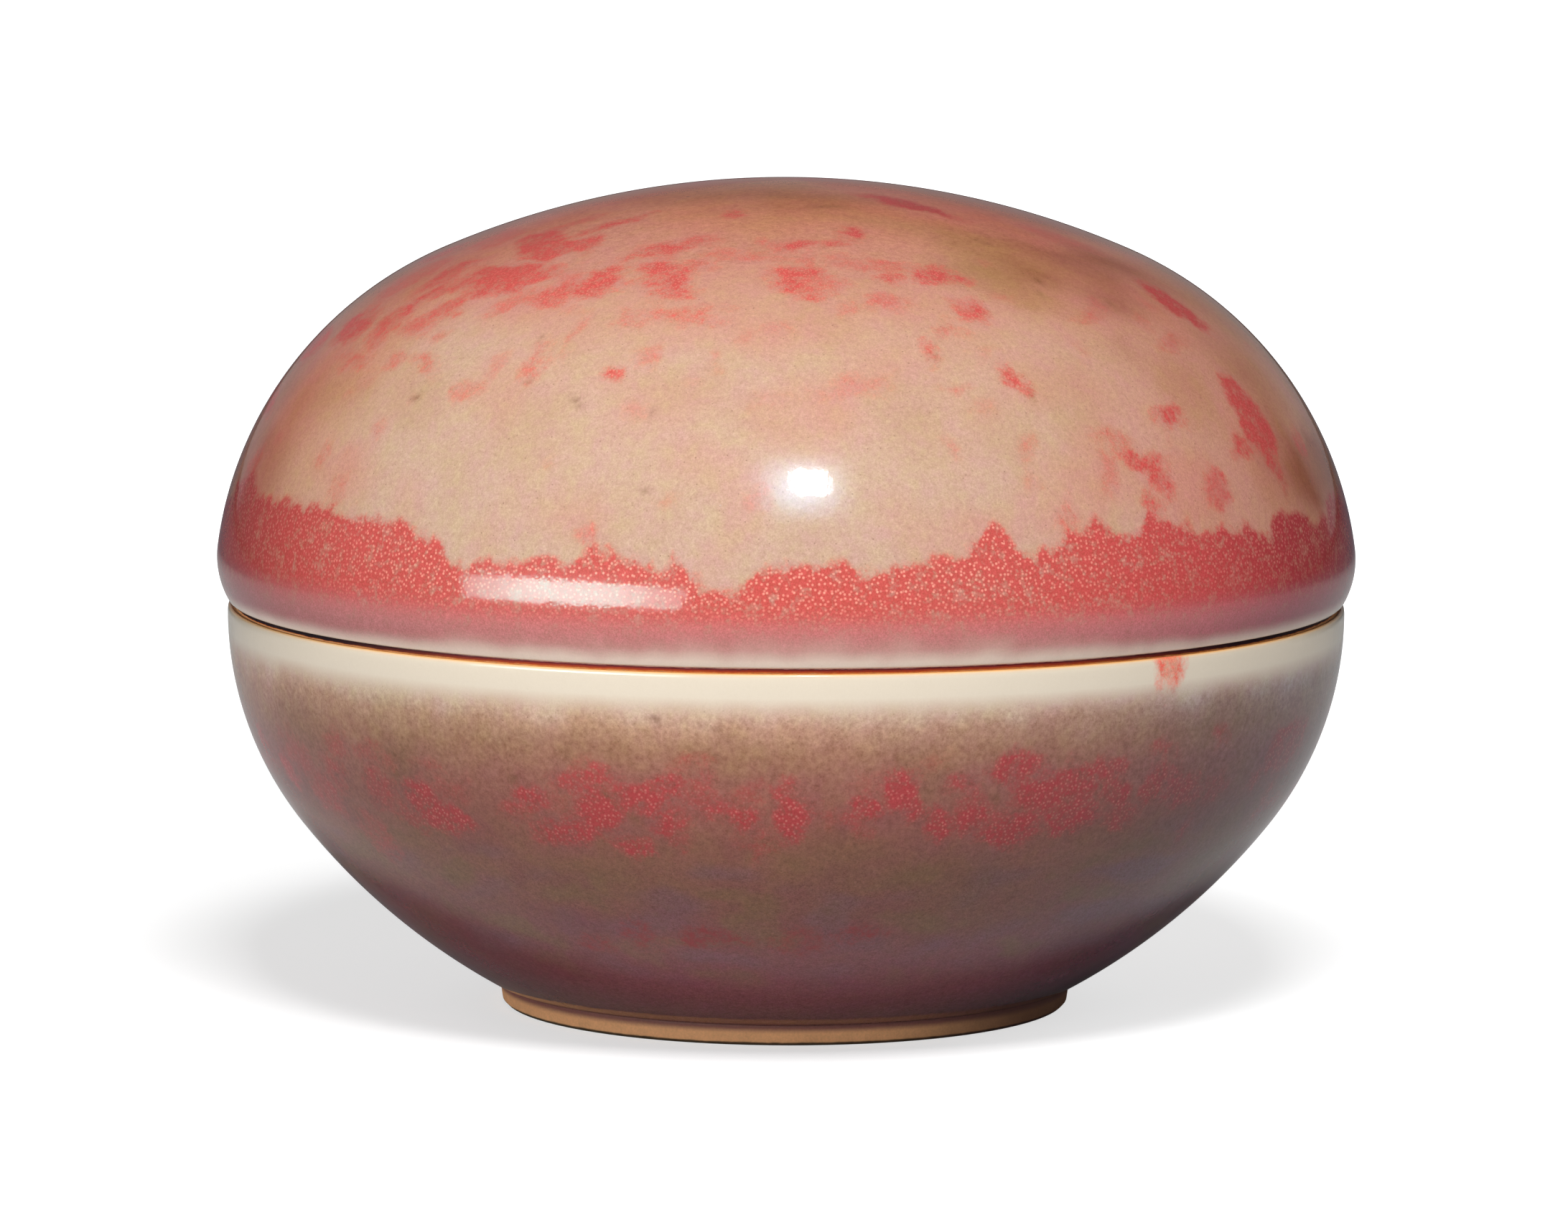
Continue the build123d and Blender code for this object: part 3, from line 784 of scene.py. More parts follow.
COVER_GROUND = painted(
    (0.0, 240, 224, 208, 1.0), (0.6, 238, 214, 198, 1.0), (1.4, 230, 184, 170), (3.0, 214, 164, 148),
    (6.0, 214, 180, 160), (10.0, 213, 180, 160), (20.0, 214, 178, 156), (25.0, 216, 168, 145),
    (29.0, 219, 162, 139), (34.0, 218, 150, 126), (38.0, 220, 143, 114), (42.0, 210, 133, 100),
    (50.5, 204, 130, 98),
)
BOWL_GROUND = painted(
    (0.0, 222, 132, 60), (0.2, 228, 146, 66), (0.28, 249, 206, 148), (0.36, 248, 224, 194),
    (0.5, 244, 230, 208), (1.7, 243, 229, 208), (2.6, 222, 192, 170), (3.6, 202, 158, 133),
    (5.2, 182, 133, 107), (7.0, 170, 114, 98), (9.5, 162, 102, 88), (13.0, 158, 104, 86),
    (17.0, 150, 92, 82), (21.0, 148, 86, 88), (25.0, 150, 78, 88), (28.0, 143, 81, 88),
    (30.2, 138, 84, 88), (31.0, 130, 80, 84), (31.6, 120, 74, 78),
)
OLIVE, BROWN, ROSE = paint(184, 143, 94), paint(158, 104, 76), paint(218, 152, 136)
PLUM, DARK, ASHEN = paint(160, 86, 92), paint(116, 76, 44), paint(134, 92, 106)
OLIVE_SHADE, WINE_SHADE = paint(142, 106, 72), paint(132, 50, 56)
CORAL, BAND_RED, MAUVE = paint(224, 97, 87), paint(212, 92, 84), paint(208, 130, 126)
DEEP_RED, DRIP_RED = paint(190, 68, 68), paint(226, 96, 78, 1.0)
WHOLE = (1.0, 1.0, 1.0)
# Painted shade by turn, from the front: tints that darken the left and right sides and make them redder
# and browner, where the studio light falls off; toward the back they fade again.
COVER_SIDE_SHADE = (
    (-110, (1.0, 0.9, 0.9)), (-85, (0.84, 0.56, 0.54)), (-70, (0.92, 0.60, 0.56)),
    (-60, (0.98, 0.82, 0.73)), (-47, WHOLE), (0, WHOLE), (28, (1.0, 0.97, 0.96)), (45, (1.0, 0.80, 0.80)),
    (60, (0.96, 0.68, 0.64)), (72, (0.93, 0.64, 0.57)), (85, (0.86, 0.64, 0.58)), (115, (1.0, 0.9, 0.9)),
)
BAND_SIDE_SHADE = (
    (-110, WHOLE), (-80, (0.66, 0.60, 0.66)), (-70, (0.68, 0.58, 0.66)), (-60, (0.82, 0.72, 0.76)),
    (-48, (0.95, 0.92, 0.95)), (-30, WHOLE), (15, WHOLE), (30, (0.98, 0.90, 0.95)),
    (45, (0.90, 0.72, 0.84)), (60, (0.68, 0.46, 0.62)), (80, (0.58, 0.44, 0.56)), (115, WHOLE),
)
CROWN_SIDE_SHADE = (
    (-110, WHOLE), (-75, (0.86, 0.78, 0.80)), (-45, (0.98, 0.96, 0.96)), (0, WHOLE),
    (30, (0.92, 0.88, 0.92)), (50, (0.86, 0.74, 0.80)), (75, (0.78, 0.66, 0.74)), (115, WHOLE),
)
BOWL_SIDE_SHADE = (
    (-110, WHOLE), (-70, (0.95, 0.90, 0.95)), (-45, (0.86, 0.90, 0.88)), (-20, WHOLE), (0, WHOLE),
    (28, (0.86, 0.86, 0.94)), (45, (0.66, 0.72, 0.90)), (62, (0.56, 0.67, 0.93)),
    (85, (0.56, 0.66, 0.86)), (120, WHOLE),
)


def ramp(values, low, high):
    """Rises smoothly from 0 at low to 1 at high."""
    t = np.clip((values - low) / (high - low), 0, 1)
    return t * t * (3 - 2 * t)


def fall(values, low, high):
    """Falls smoothly from 1 at low to 0 at high."""
    return 1 - ramp(values, low, high)


def along_stops(values, stops):
    """The tone at each value, blended between (value, tone) stops."""
    places = [place for place, _ in stops]
    return np.stack([np.interp(values, places, [c[i] for _, c in stops]) for i in range(3)], -1)


def over(ground, tone, amount):
    """Lays a tone over the ground."""
    amount = np.clip(amount, 0, 1)[:, None]
    return ground * (1 - amount) + tone * amount


def shaded_sides(tones, tint, share):
    """Multiplies tones by a tint of painted side shade, as far as the share says."""
    return tones * (tint * share[:, None] + 1 - share[:, None])


# %% Soft blotches and dark spots on the cover
COVER_OLIVE = dict(
    marks=(
        (36, 27.5, 8, 2.5, 0.7), (43, 30, 4, 1.6, 0.5), (38, 25, 5, 1.4, 0.45), (-46.5, 16, 5, 2.4, 0.25),
        (-30, 15, 6, 3, 0.15), (14, 17, 5, 2.5, 0.12), (52, 17, 5, 3, 0.35), (70, 16, 5, 4, 0.4),
        (-66, 14, 5, 3, 0.3), (24, 15, 4, 2.5, 0.12), (-60, 16, 6, 2, 0.3), (34, 17, 6, 3, 0.2),
        (30, 29.5, 5, 1.6, 0.4),
    ),
    dabs=(
        (13.5, -14, 5, 3, 0.65), (8, -12, 4, 1.6, 0.5), (26, -4, 4, 4, 0.3), (-10, 2, 5, 4, 0.2),
        (0, -12.5, 3, 1.2, 0.35), (14, -18.5, 3, 1.4, 0.5),
    ),
)
# Brown blotches: the dabs on the crown and the marks nearer the front are the glaze's own brown; the
# large marks at 60 degrees and more to the left and right are painted shade of the sides.
COVER_BROWN_AND_SIDE_SHADE = dict(
    marks=(
        (52, 24.3, 7, 2, 0.55), (43, 27.2, 3, 1, 0.4), (47, 20.5, 2.2, 1, 0.3), (60, 28, 9, 3, 0.5),
        (74, 9.5, 10, 3.2, 0.75), (-78, 14, 4, 8, 0.4), (66, 18, 4, 4, 0.2), (-72, 9.5, 8, 3, 0.3),
        (65, 11, 7, 3.4, 0.4),
    ),
    dabs=(
        (1, -7, 6, 1.6, 0.5), (21, -8, 3, 2, 0.6), (-4, -4, 8, 3, 0.35), (14, 0, 7, 5, 0.3),
        (-22, 0, 5, 6, 0.3), (17, -11, 4, 1.2, 0.55), (-1, -10, 5, 1.2, 0.35), (-9, -7, 4, 1.4, 0.25),
        (15.5, -15.6, 2.0, 0.9, 0.6), (11, -17.2, 1.4, 0.6, 0.4),
    ),
)
COVER_ROSE = dict(
    marks=(
        (-72, 14, 6, 6, 0.35), (-60, 20, 6, 4, 0.35), (30, 10, 6, 3, 0.35), (46, 10, 6, 3, 0.45),
        (2, 16, 7, 2.6, 0.3), (-1, 23, 10, 2, 0.3), (-14, 17, 6, 2.5, 0.2), (-40, 26, 10, 4, 0.45),
        (12, 20, 7, 2, 0.25), (62, 12, 8, 4, 0.3), (20, 8.5, 5, 1.6, 0.4), (-52, 10.5, 6, 1.6, 0.4),
        (-22, 9.5, 5, 1.6, 0.25), (14, 26, 9, 2, 0.3), (-16, 25, 9, 2.6, 0.2), (36, 12, 5, 3, 0.3),
        (-62, 27, 9, 4, 0.45), (-30, 22, 6, 2, 0.2), (62, 22, 5, 2, 0.3), (24, 21, 4, 2, 0.2),
    ),
    dabs=((8, -4, 7, 2.4, 0.4), (-14, -14, 8, 6, 0.35), (0, -19, 7, 3, 0.3)),
)
COVER_SPOTS = dict(
    marks=(
        (-46.5, 16.2, 0.45, 0.16, 1.0, 25), (-31.5, 18, 0.3, 0.18, 0.8), (-14.5, 11, 0.5, 0.25, 0.4),
        (43, 27.2, 0.6, 0.35, 0.5), (40.5, 25.8, 0.4, 0.3, 0.5), (52, 24.3, 0.4, 0.3, 0.5),
        (28.9, 17.2, 0.25, 0.18, 1.0), (-24.4, 16.8, 0.6, 0.1, 1.0, -38), (18.5, 20.4, 0.2, 0.15, 0.8),
        (-15, 16.3, 0.2, 0.15, 0.9), (-36, 6.0, 0.3, 0.2, 0.6), (-33, 21.5, 0.2, 0.15, 0.8),
    ),
    dabs=((12, -12.5, 0.5, 0.3, 0.4), (2.5, -9.5, 1.5, 0.5, 0.35)),
)
blotches = (COVER_OLIVE, COVER_BROWN_AND_SIDE_SHADE, COVER_ROSE)
print(sum(len(b["marks"]) + len(b["dabs"]) for b in blotches), "blotches on the cover")

# %% Soft blotches and dark spots on the bowl
BOWL_OLIVE = (
    (14.8, 7.4, 2.6, 1.5, 0.38), (-8.6, 5.4, 3, 1.0, 0.34), (12, 5.4, 1.8, 1.2, 0.3),
    (-43, 7.3, 3, 2, 0.38), (-30, 4.8, 8, 0.9, 0.3), (-20, 5.0, 5, 0.9, 0.26), (-3, 5.6, 5, 1.2, 0.3),
    (28, 4.8, 5, 1, 0.22), (-60, 6, 6, 2, 0.3), (6, 13.5, 6, 2, 0.26), (20, 14.5, 7, 2.4, 0.3),
    (-20, 15, 8, 2.5, 0.22), (22, 18, 8, 2, 0.3), (48, 4.6, 6, 1.2, 0.3), (5, 16.8, 2.4, 1, 0.3),
)
BOWL_WINE = (
    (-58, 21, 14, 4.0, 0.65), (-42, 24.5, 14, 2.2, 0.5), (-12, 25.5, 22, 1.6, 0.2),
    (26, 25, 18, 1.8, 0.25), (48, 22, 10, 4, 0.45), (-70, 10, 8, 3, 0.4), (-26, 19, 6, 1.4, 0.35),
)
BOWL_SPOTS = (
    (-12.8, 3.1, 0.4, 0.18, 1.0), (-28.7, 7.5, 0.45, 0.25, 0.9), (-43.5, 6.7, 0.3, 0.25, 0.7),
    (-53, 8.3, 0.4, 0.3, 0.5), (-44, 8.0, 0.3, 0.25, 0.6), (-42.3, 15.8, 0.8, 0.2, 0.6),
    (50, 5.3, 0.4, 0.25, 0.8), (46.3, 2.9, 0.2, 0.14, 1.0), (5, 17, 0.5, 0.25, 0.5),
    (-18, 8.6, 0.9, 0.18, 0.9, 35), (-16, 9.6, 0.8, 0.16, 0.8, 35), (-18.6, 7.9, 0.4, 0.25, 0.8),
    (-6.6, 3.7, 0.2, 0.14, 0.9), (22, 8.4, 0.4, 0.3, 0.6), (30, 9.4, 0.3, 0.2, 0.5),
    (-3.4, 7.9, 0.25, 0.16, 0.8), (40, 4.6, 0.3, 0.2, 0.6), (-40.5, 5.2, 0.2, 0.14, 0.8),
    (35, 3.3, 0.2, 0.15, 0.7), (-50, 4.6, 0.2, 0.15, 0.6), (9, 4.0, 0.2, 0.14, 0.6),
)
print(len(BOWL_OLIVE + BOWL_WINE), "blotches on the bowl")

# %% [markdown]
# Now the layers are laid over each other and stored on the vertices: the tones of the ground and of
# the red, the edge of the red in mm, its depth, how coarse and bubbly the glaze is, and how much
# the tone may wander. The material only reads them. The place on the skin is stored on the corners
# of the faces, so that it doesn't jump back inside the column of faces where a turn is complete.

# %% Helpers that store layers
def store(piece, **layers):
    """Stores one value or one tone for each vertex, under the layer's name."""
    for name, values in layers.items():
        if values.ndim == 2:
            made = piece.data.attributes.new(name, "FLOAT_COLOR", "POINT")
            rgba = np.concatenate([values, np.ones((len(values), 1))], axis=1)
            made.data.foreach_set("color", rgba.astype(np.float32).ravel())
        else:
            made = piece.data.attributes.new(name, "FLOAT", "POINT")
            made.data.foreach_set("value", values.astype(np.float32))


def store_place(piece, skin, girth_radius):
    """Stores the place on the skin, in mm round the girth and mm of run, on each corner."""
    mesh = piece.data
    vertex = np.empty(len(mesh.loops), dtype=np.int32)
    mesh.loops.foreach_get("vertex_index", vertex)
    start = np.empty(len(mesh.polygons), dtype=np.int32)
    size = np.empty(len(mesh.polygons), dtype=np.int32)
    mesh.polygons.foreach_get("loop_start", start)
    mesh.polygons.foreach_get("loop_total", size)
    turned = skin.turn[vertex]
    spread = np.maximum.reduceat(turned, start) - np.minimum.reduceat(turned, start)
    crosses = np.repeat(spread > 180, size)
    turned = np.where(crosses & (turned < 0), turned + 360, turned)
    place = np.stack([np.radians(turned) * girth_radius, skin.run[vertex], np.zeros(len(vertex))], -1)
    made = mesh.attributes.new("skin_place", "FLOAT_VECTOR", "CORNER")
    made.data.foreach_set("vector", place.astype(np.float32).ravel())
    print(piece.name, "-", int((spread > 180).sum()), "faces where the turn is complete")


# %% Paint the cover
BAND_START, BAND_FULL = (0.30, 0.0), (2.6, 1.4)  # runs where it begins and is full: front, sides
BACK_EDGE = 7.6  # run of the band's upper edge at the back
SIDEWAYS, FAR_SIDE, BEHIND = (15, 50), (40, 62), (76, 84)  # degrees from the front
INSIDE_EDGE = (-0.5, 0.4)  # mm from the band's edge
TONGUES = (0.8, 0.4)  # their width in mm and how flat their noise is made, so that they stand up
MARK_TRIM, MARK_EATEN = 0.02, 0.22  # mm that the melt has eaten off every mark, and where it runs
EATEN_RANGE = (-1.0, 0.6)  # mm from a mark's edge
BROAD, MIDDLE = 5.0, 2.2  # sizes of the hills in mm
LIP, MAUVE_END, HIGH_UP, DEEPER = (1.5, 3.5), (1.6, 4.2), (8, 12), (30, 42)  # runs in mm
BUBBLY, BUBBLY_TURN, BUBBLY_MIDDLE = (2.0, 5.2), (22, 55), -8
CROWN_COARSE = (26, 34)
HALO, SPOT_BLUR = (-2.4, 0.2), 0.5  # mm round a mark, and over which a dark spot fades


def hills_of(skin, small_size):
    """Hills of three sizes over a coat, the small ones of that size in mm."""
    sizes = ((BROAD, 0), (MIDDLE, 3), (small_size, 7))
    return [hills(skin.points, size, offset) for size, offset in sizes]


def gather_eaten(skin, push, small, marks, dabs=()):
    """Gathers marks whose edges the melt has eaten into where the small hills are high."""
    edge, depth = gather(fields_of(skin, push, marks, dabs), len(skin.turn))
    return edge - MARK_TRIM - MARK_EATEN * np.maximum(small, 0) * ramp(edge, *EATEN_RANGE), depth


skin, push, run = cover_skin, cover_push, cover_skin.run
count, away = len(skin.turn), np.abs(skin.turn)
broad, middle, small = hills_of(skin, 1.3)
tongues = hills(skin.points * (1, 1, TONGUES[1]), TONGUES[0], offset=11)
sideways, behind = ramp(away, *SIDEWAYS), ramp(away, *BEHIND)
far_side = ramp(away, *FAR_SIDE) * (1 - behind)

edge_line = np.interp(skin.turn, *zip(*BAND_EDGE))
edge_line = edge_line * (1 - behind) + (BACK_EDGE + 1.2 * broad + 0.8 * small) * behind
band = edge_line - run + 0.5 * push[1] + 0.2 * small
band += 0.45 * tongues * (1 - 0.7 * far_side)
start, full = [front + (side - front) * sideways for front, side in (BAND_START, BAND_FULL)]
ragged = (0.35 * middle + 0.2 * small) * (1 - 0.85 * sideways * (1 - behind))
band_depth = ramp((run + ragged - start) / (full - start), 0, 1)
in_band = ramp(band, *INSIDE_EDGE)
marks, marks_depth = gather_eaten(
    skin, push, small, SIDE_FLAKES + BACK_FLAKES + CRUMBS, CROWN_DABS + BACK_DABS)
red_edge = np.maximum(band, marks)

# Painted shade on the left and right sides of the cover's ground, from the tints by turn.
above_lip, side_shade = ramp(run, *LIP), along_stops(skin.turn, COVER_SIDE_SHADE)
ground = shaded_sides(along_stops(run, COVER_GROUND), side_shade, above_lip)
for blotches, tone in ((COVER_ROSE, ROSE), (COVER_OLIVE, OLIVE), (COVER_BROWN_AND_SIDE_SHADE, BROWN)):
    ground = over(ground, tone * side_shade, tinge(fields_of(skin, push, **blotches), count))
ground = over(ground, ROSE, 0.25 * ramp(marks, *HALO) * marks_depth)
ground = over(ground, ROSE, 0.22 * ramp(broad, 0.0, 0.9) * above_lip)
ground = over(ground, OLIVE, 0.10 * ramp(-broad, 0.1, 1.0) * above_lip)
ground = over(ground, DARK, tinge(fields_of(skin, (0, 0), **COVER_SPOTS), count, SPOT_BLUR))

red = over(np.tile(CORAL, (count, 1)), BAND_RED, in_band * 0.8)
red = over(red, MAUVE, in_band * fall(run, *MAUVE_END))
red = over(red, DEEP_RED, 0.4 * ramp(run, *DEEPER))
# The red also gets painted shade on the sides, from the band's and the crown's tints by turn.
crown_share = ramp(run, *HIGH_UP)[:, None]
red = red * (along_stops(skin.turn, BAND_SIDE_SHADE) * (1 - crown_share)
             + along_stops(skin.turn, CROWN_SIDE_SHADE) * crown_share)
bubbles = in_band * ramp(run, *BUBBLY) + 0.45 * (1 - in_band)
store(
    cover_coat, ground_tone=ground, red_tone=red, red_edge=red_edge,
    red_depth=band_depth * in_band + marks_depth * (1 - in_band),
    bubbles=bubbles * (1 - 0.65 * ramp(np.abs(skin.turn - BUBBLY_MIDDLE), *BUBBLY_TURN)),
    coarse=0.18 + 0.35 * ramp(run, *CROWN_COARSE),
    wander=0.12 + 0.98 * above_lip,
)
store_place(cover_coat, skin, COVER_RADIUS)
print("red covers", round(100 * float((red_edge > 0).mean())), "% of the cover's vertices")

# %% Paint the bowl
DRIP_CALM = 0.3  # how much of the wandering the drip's fine threads take
RIM, BELOW_RIM, CREAM_END = (2.0, 2.6), (1.5, 3.6), (1.7, 3.2)  # runs in mm below the seam
MOVED_FROM, MOVED_TO = (1.6, 3.1), (26, 29)  # runs between which the ground's tones wander
STROKES = (2.4, (0.5, 0.5, 1.5))  # size in mm and stretch of the level brush strokes
PLUM_FROM, LOWER_FROM, LOWER_TO, DIM_RED = (5, 9), (9, 14), (22, 27), (13, 17)
BUBBLY_FROM, BUBBLY_TO = (4, 6), (12, 16)
COARSE_FROM, COARSE_TO, LIVELY_FROM = (2.0, 3.4), (7, 14), (9, 16)
BOWL_HALO = (-2.0, 0.2)

skin, push, run = bowl_skin, bowl_push, bowl_skin.run
count = len(skin.turn)
broad, middle, small = hills_of(skin, 1.2)
marks, marks_depth = gather_eaten(skin, push, small, BOWL_FLAKES + BACK_BOWL + BOWL_CRUMBS)
calm = [way * DRIP_CALM for way in push]
drip, drip_depth = gather(fields_of(skin, calm, RED_DRIP), count)
on_rim, below_rim = fall(run, *RIM), ramp(run, *BELOW_RIM)
red_edge = np.maximum(marks, drip)

rises, falls = [np.clip((run - a) / (b - a), 0, 1) for a, b in (MOVED_FROM, MOVED_TO)]
moved = run + rises * (1 - falls) * (0.25 * broad + 0.28 * middle + 0.2 * small)
# Painted shade on the left and right sides of the bowl, from the tints by turn.
side_shade = along_stops(skin.turn, BOWL_SIDE_SHADE)
strokes = hills(skin.points * STROKES[1], STROKES[0], offset=17)
lower = ramp(run, *LOWER_FROM) * fall(run, *LOWER_TO)
ground = shaded_sides(along_stops(moved, BOWL_GROUND), side_shade, below_rim)
for tone, amount in (
    (PLUM * 0.7, 0.30 * ramp(-middle, 0.1, 1.0) * ramp(run, *PLUM_FROM)),
    (OLIVE_SHADE, 0.6 * ramp(strokes + 0.4 * small, 0.0, 0.9) * lower),
    (ASHEN, 0.5 * ramp(-strokes + 0.4 * middle, 0.0, 0.9) * lower),
    (OLIVE_SHADE, tinge(fields_of(skin, push, BOWL_OLIVE), count) * below_rim),
    (WINE_SHADE, tinge(fields_of(skin, push, BOWL_WINE), count) * below_rim),
):
    ground = over(ground, tone * side_shade, amount)
ground = over(ground, PLUM, 0.3 * ramp(marks, *BOWL_HALO) * marks_depth * below_rim)
ground = over(ground, DARK, tinge(fields_of(skin, (0, 0), BOWL_SPOTS), count, SPOT_BLUR))
red = np.tile(DEEP_RED, (count, 1)) * side_shade * (1 - 0.35 * ramp(run, *DIM_RED)[:, None])
store(
    bowl_coat, ground_tone=ground, red_tone=over(red, DRIP_RED, on_rim), red_edge=red_edge,
    red_depth=marks_depth * (1 - on_rim) + drip_depth * on_rim,
    bubbles=0.35 * ramp(run, *BUBBLY_FROM) * fall(run, *BUBBLY_TO),
    coarse=0.85 * ramp(run, *COARSE_FROM) * (0.25 + 0.75 * fall(run, *COARSE_TO)),
    wander=np.maximum(0.9 * on_rim * ramp(drip, -0.2, 0.3),
                      ramp(run, *CREAM_END) * (1.1 + 1.1 * ramp(run, *LIVELY_FROM))),
)
store_place(bowl_coat, skin, COVER_RADIUS)
print("red covers", round(100 * float((red_edge > 0).mean())), "% of the bowl's vertices")

# %% [markdown]
# Fine grain comes from the material, at sizes far below the mesh. A shader node group is a small
# tool that several materials share. It gives back only values and masks, so that everything can be
# baked into images later. This cell has the helpers that make groups and materials.

# %% Helpers for groups and colours
def group(name, inputs, outputs):
    """A new node group with named float or vector inputs, and its two end nodes."""
    made = bpy.data.node_groups.new(name, "ShaderNodeTree")
    for label, default in inputs:
        kind = "NodeSocketVector" if default is None else "NodeSocketFloat"
        socket = made.interface.new_socket(name=label, in_out="INPUT", socket_type=kind)
        if default is not None:
            socket.default_value = default
    for label in outputs:
        made.interface.new_socket(name=label, in_out="OUTPUT", socket_type="NodeSocketFloat")
    return made, made.nodes.new("NodeGroupInput").outputs, made.nodes.new("NodeGroupOutput").inputs


def shade(tree, colour, swing, weights=(1.0, 1.0, 1.0)):
    """Makes a colour lighter or darker by a value around 0, more in one channel than another."""
    parts = {i: total(tree, 1.0, (swing, weight)) for i, weight in enumerate(weights)}
    return mix(tree, 1.0, colour, put(tree, "CombineColor", parts).outputs[0], blend="MULTIPLY")


def stored(tree, name, output="Fac"):
    """Reads a layer that was stored on the mesh."""
    return put(tree, "Attribute", attribute_name=name).outputs[output]


def opaque(*tone):
    """A painted tone as a colour for a socket."""
    return (*paint(*tone), 1)


def begin(name):
    """A new material, its empty tree, and the place on the object."""
    made = bpy.data.materials.new(name)
    tree = new_tree(made)
    return made, tree, put(tree, "TexCoord").outputs["Object"]


def finish_surface(tree, colour, relief, height, roughness, **coat):
    """Ends a material: the relief's value is a height in units of so many mm."""
    bump = put(tree, "Bump", {"Height": relief, "Strength": 1.0, "Distance": height * MM})
    skin = put(tree, "BsdfPrincipled", {
        "Base Color": colour, "Normal": bump.outputs[0], "Roughness": roughness,
        **{key.replace("_", " "): value for key, value in coat.items()},
    })
    put(tree, "OutputMaterial", {"Surface": skin.outputs[0]})


def dress(node, finish):
    """Gives a node of the frame its material."""
    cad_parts[node].data.materials.clear()
    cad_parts[node].data.materials.append(finish)

# %% [markdown]
# Three groups make the fabric of fired glaze. Grain is a noise from -1 to 1 of a given size, which
# may be stretched upward, because glaze runs down while it melts. Pin spots are round spots
# scattered through space, of which the surface cuts a few: specks of iron and open pinholes.
# Bubbles are packed side by side, so they are laid on the skin itself.

# %% Groups: grain, pin spots and bubbles
NOISE_SPREAD = (4.0, -2.0)  # brings the noise's 0.25 to 0.75 to -1 to 1
SPOT_CORE = 0.3  # the share of a spot's radius that is at full strength
FAINTEST = 0.45  # strength of the faintest spot

grain_tool, given, gives = group(
    "grain", (("Place", None), ("Size in mm", 1.0), ("Stretch", 1.0)), ("Value",)
)
flat = calc(grain_tool, "DIVIDE", 1.0, given["Stretch"])
squeeze = put(grain_tool, "CombineXYZ", {0: 1.0, 1: 1.0, 2: flat})
squeezed = put(grain_tool, "VectorMath", {0: given["Place"], 1: squeeze.outputs[0]}, operation="MULTIPLY")
per_metre = calc(grain_tool, "DIVIDE", 1 / MM, given["Size in mm"])
made = put(grain_tool, "TexNoise", {
    "Vector": squeezed.outputs[0], "Scale": per_metre, "Detail": 2.0, "Roughness": 0.6,
})
wide = total(grain_tool, NOISE_SPREAD[1], (made.outputs[0], NOISE_SPREAD[0]))
wide = calc(grain_tool, "MAXIMUM", calc(grain_tool, "MINIMUM", wide, 1.0), -1.0)
grain_tool.links.new(wide, gives["Value"])


def grain(tree, place, size, stretch=1.0):
    """Grain of a size in mm."""
    sockets = {"Place": place, "Size in mm": size, "Stretch": stretch}
    return put(tree, "Group", sockets, node_tree=grain_tool).outputs["Value"]


def spots_group(name, dimensions, scale):
    """Round spots, one in each of a share of the cells, softest at their rim."""
    tool, given, gives = group(
        name, (("Place", None), ("Cell in mm", 1.0), ("Radius", 0.3), ("Share", 1.0)), ("Mask",)
    )
    fine = calc(tool, "DIVIDE", scale, given["Cell in mm"])
    made = put(tool, "TexVoronoi", voronoi_dimensions=dimensions)
    tool.links.new(given["Place"], made.inputs["Vector"])
    tool.links.new(fine, made.inputs["Scale"])
    lottery = put(tool, "SeparateColor", {0: made.outputs["Color"]}).outputs
    chosen = calc(tool, "LESS_THAN", lottery[0], given["Share"])
    strength = total(tool, FAINTEST, (lottery[1], 1 - FAINTEST))
    core = times(tool, given["Radius"], SPOT_CORE)
    spot = fade(tool, made.outputs["Distance"], given["Radius"], core)
    tool.links.new(times(tool, spot, chosen, strength), gives["Mask"])
    return tool


def spots(tree, tool, place, cell, radius, share):
    """Spots in cells of a size in mm; the radius is a share of the cell."""
    sockets = {"Place": place, "Cell in mm": cell, "Radius": radius, "Share": share}
    return put(tree, "Group", sockets, node_tree=tool).outputs["Mask"]


spots_tool = spots_group("pin_spots", "3D", 1 / MM)
bubbles_tool = spots_group("packed_bubbles", "2D", 1.0)
print("groups:", grain_tool.name, spots_tool.name, bubbles_tool.name)

# %% [markdown]
# The red's edge in mm is shifted by grain of two sizes and cut with a soft step, which gives the
# furry border of the real flakes, and thin red is broken up by the same grain. Pale bubbles lie
# packed in the red. The ground drifts between rose and ochre in patches a millimetre across. The
# surface is glass: sharp reflections from the base layer, with a weak, rougher coat over it for the
# haze. Its relief is far too fine for geometry, so it is a bump, with heights in mm.

# %% Material: mottled red glaze
GRAINS = (  # name, size in mm, stretch
    ("cloud", 1.7, 1.2), ("lumps", 0.75, 1.1), ("crumb", 0.34, 1.0),
    ("fine", 0.24, 1.0), ("hair", 0.16, 2.0), ("dust", 0.10, 1.0),
)
EDGE_GRAIN = (("lumps", 0.22), ("fine", 0.16))  # grain and how far it shifts the edge, in mm
EDGE_SOFT = (-0.55, 0.42)  # mm from the edge
DRIFT = (("crumb", 0.2), ("lumps", 0.35), ("cloud", 0.45))  # what moves the ground to ochre
SWING = (("fine", 0.05), ("hair", 0.04), ("dust", 0.13))  # what makes the ground lighter
RED_SWING = (("dust", 0.22), ("fine", 0.12), ("lumps", 0.10))
THIN_RED = (("lumps", 0.45), ("fine", 0.32))  # what breaks up thin red
RELIEF = (("fine", 0.0005), ("lumps", 0.0009), ("cloud", 0.0030))  # heights in mm
SPECKS, PITS, BUBBLES = (0.42, 0.17, 0.6), (1.3, 0.10, 0.5), (0.31, 0.36, 0.92)
BUBBLE_HEIGHT, PIT_DEPTH = 0.0012, -0.010  # mm
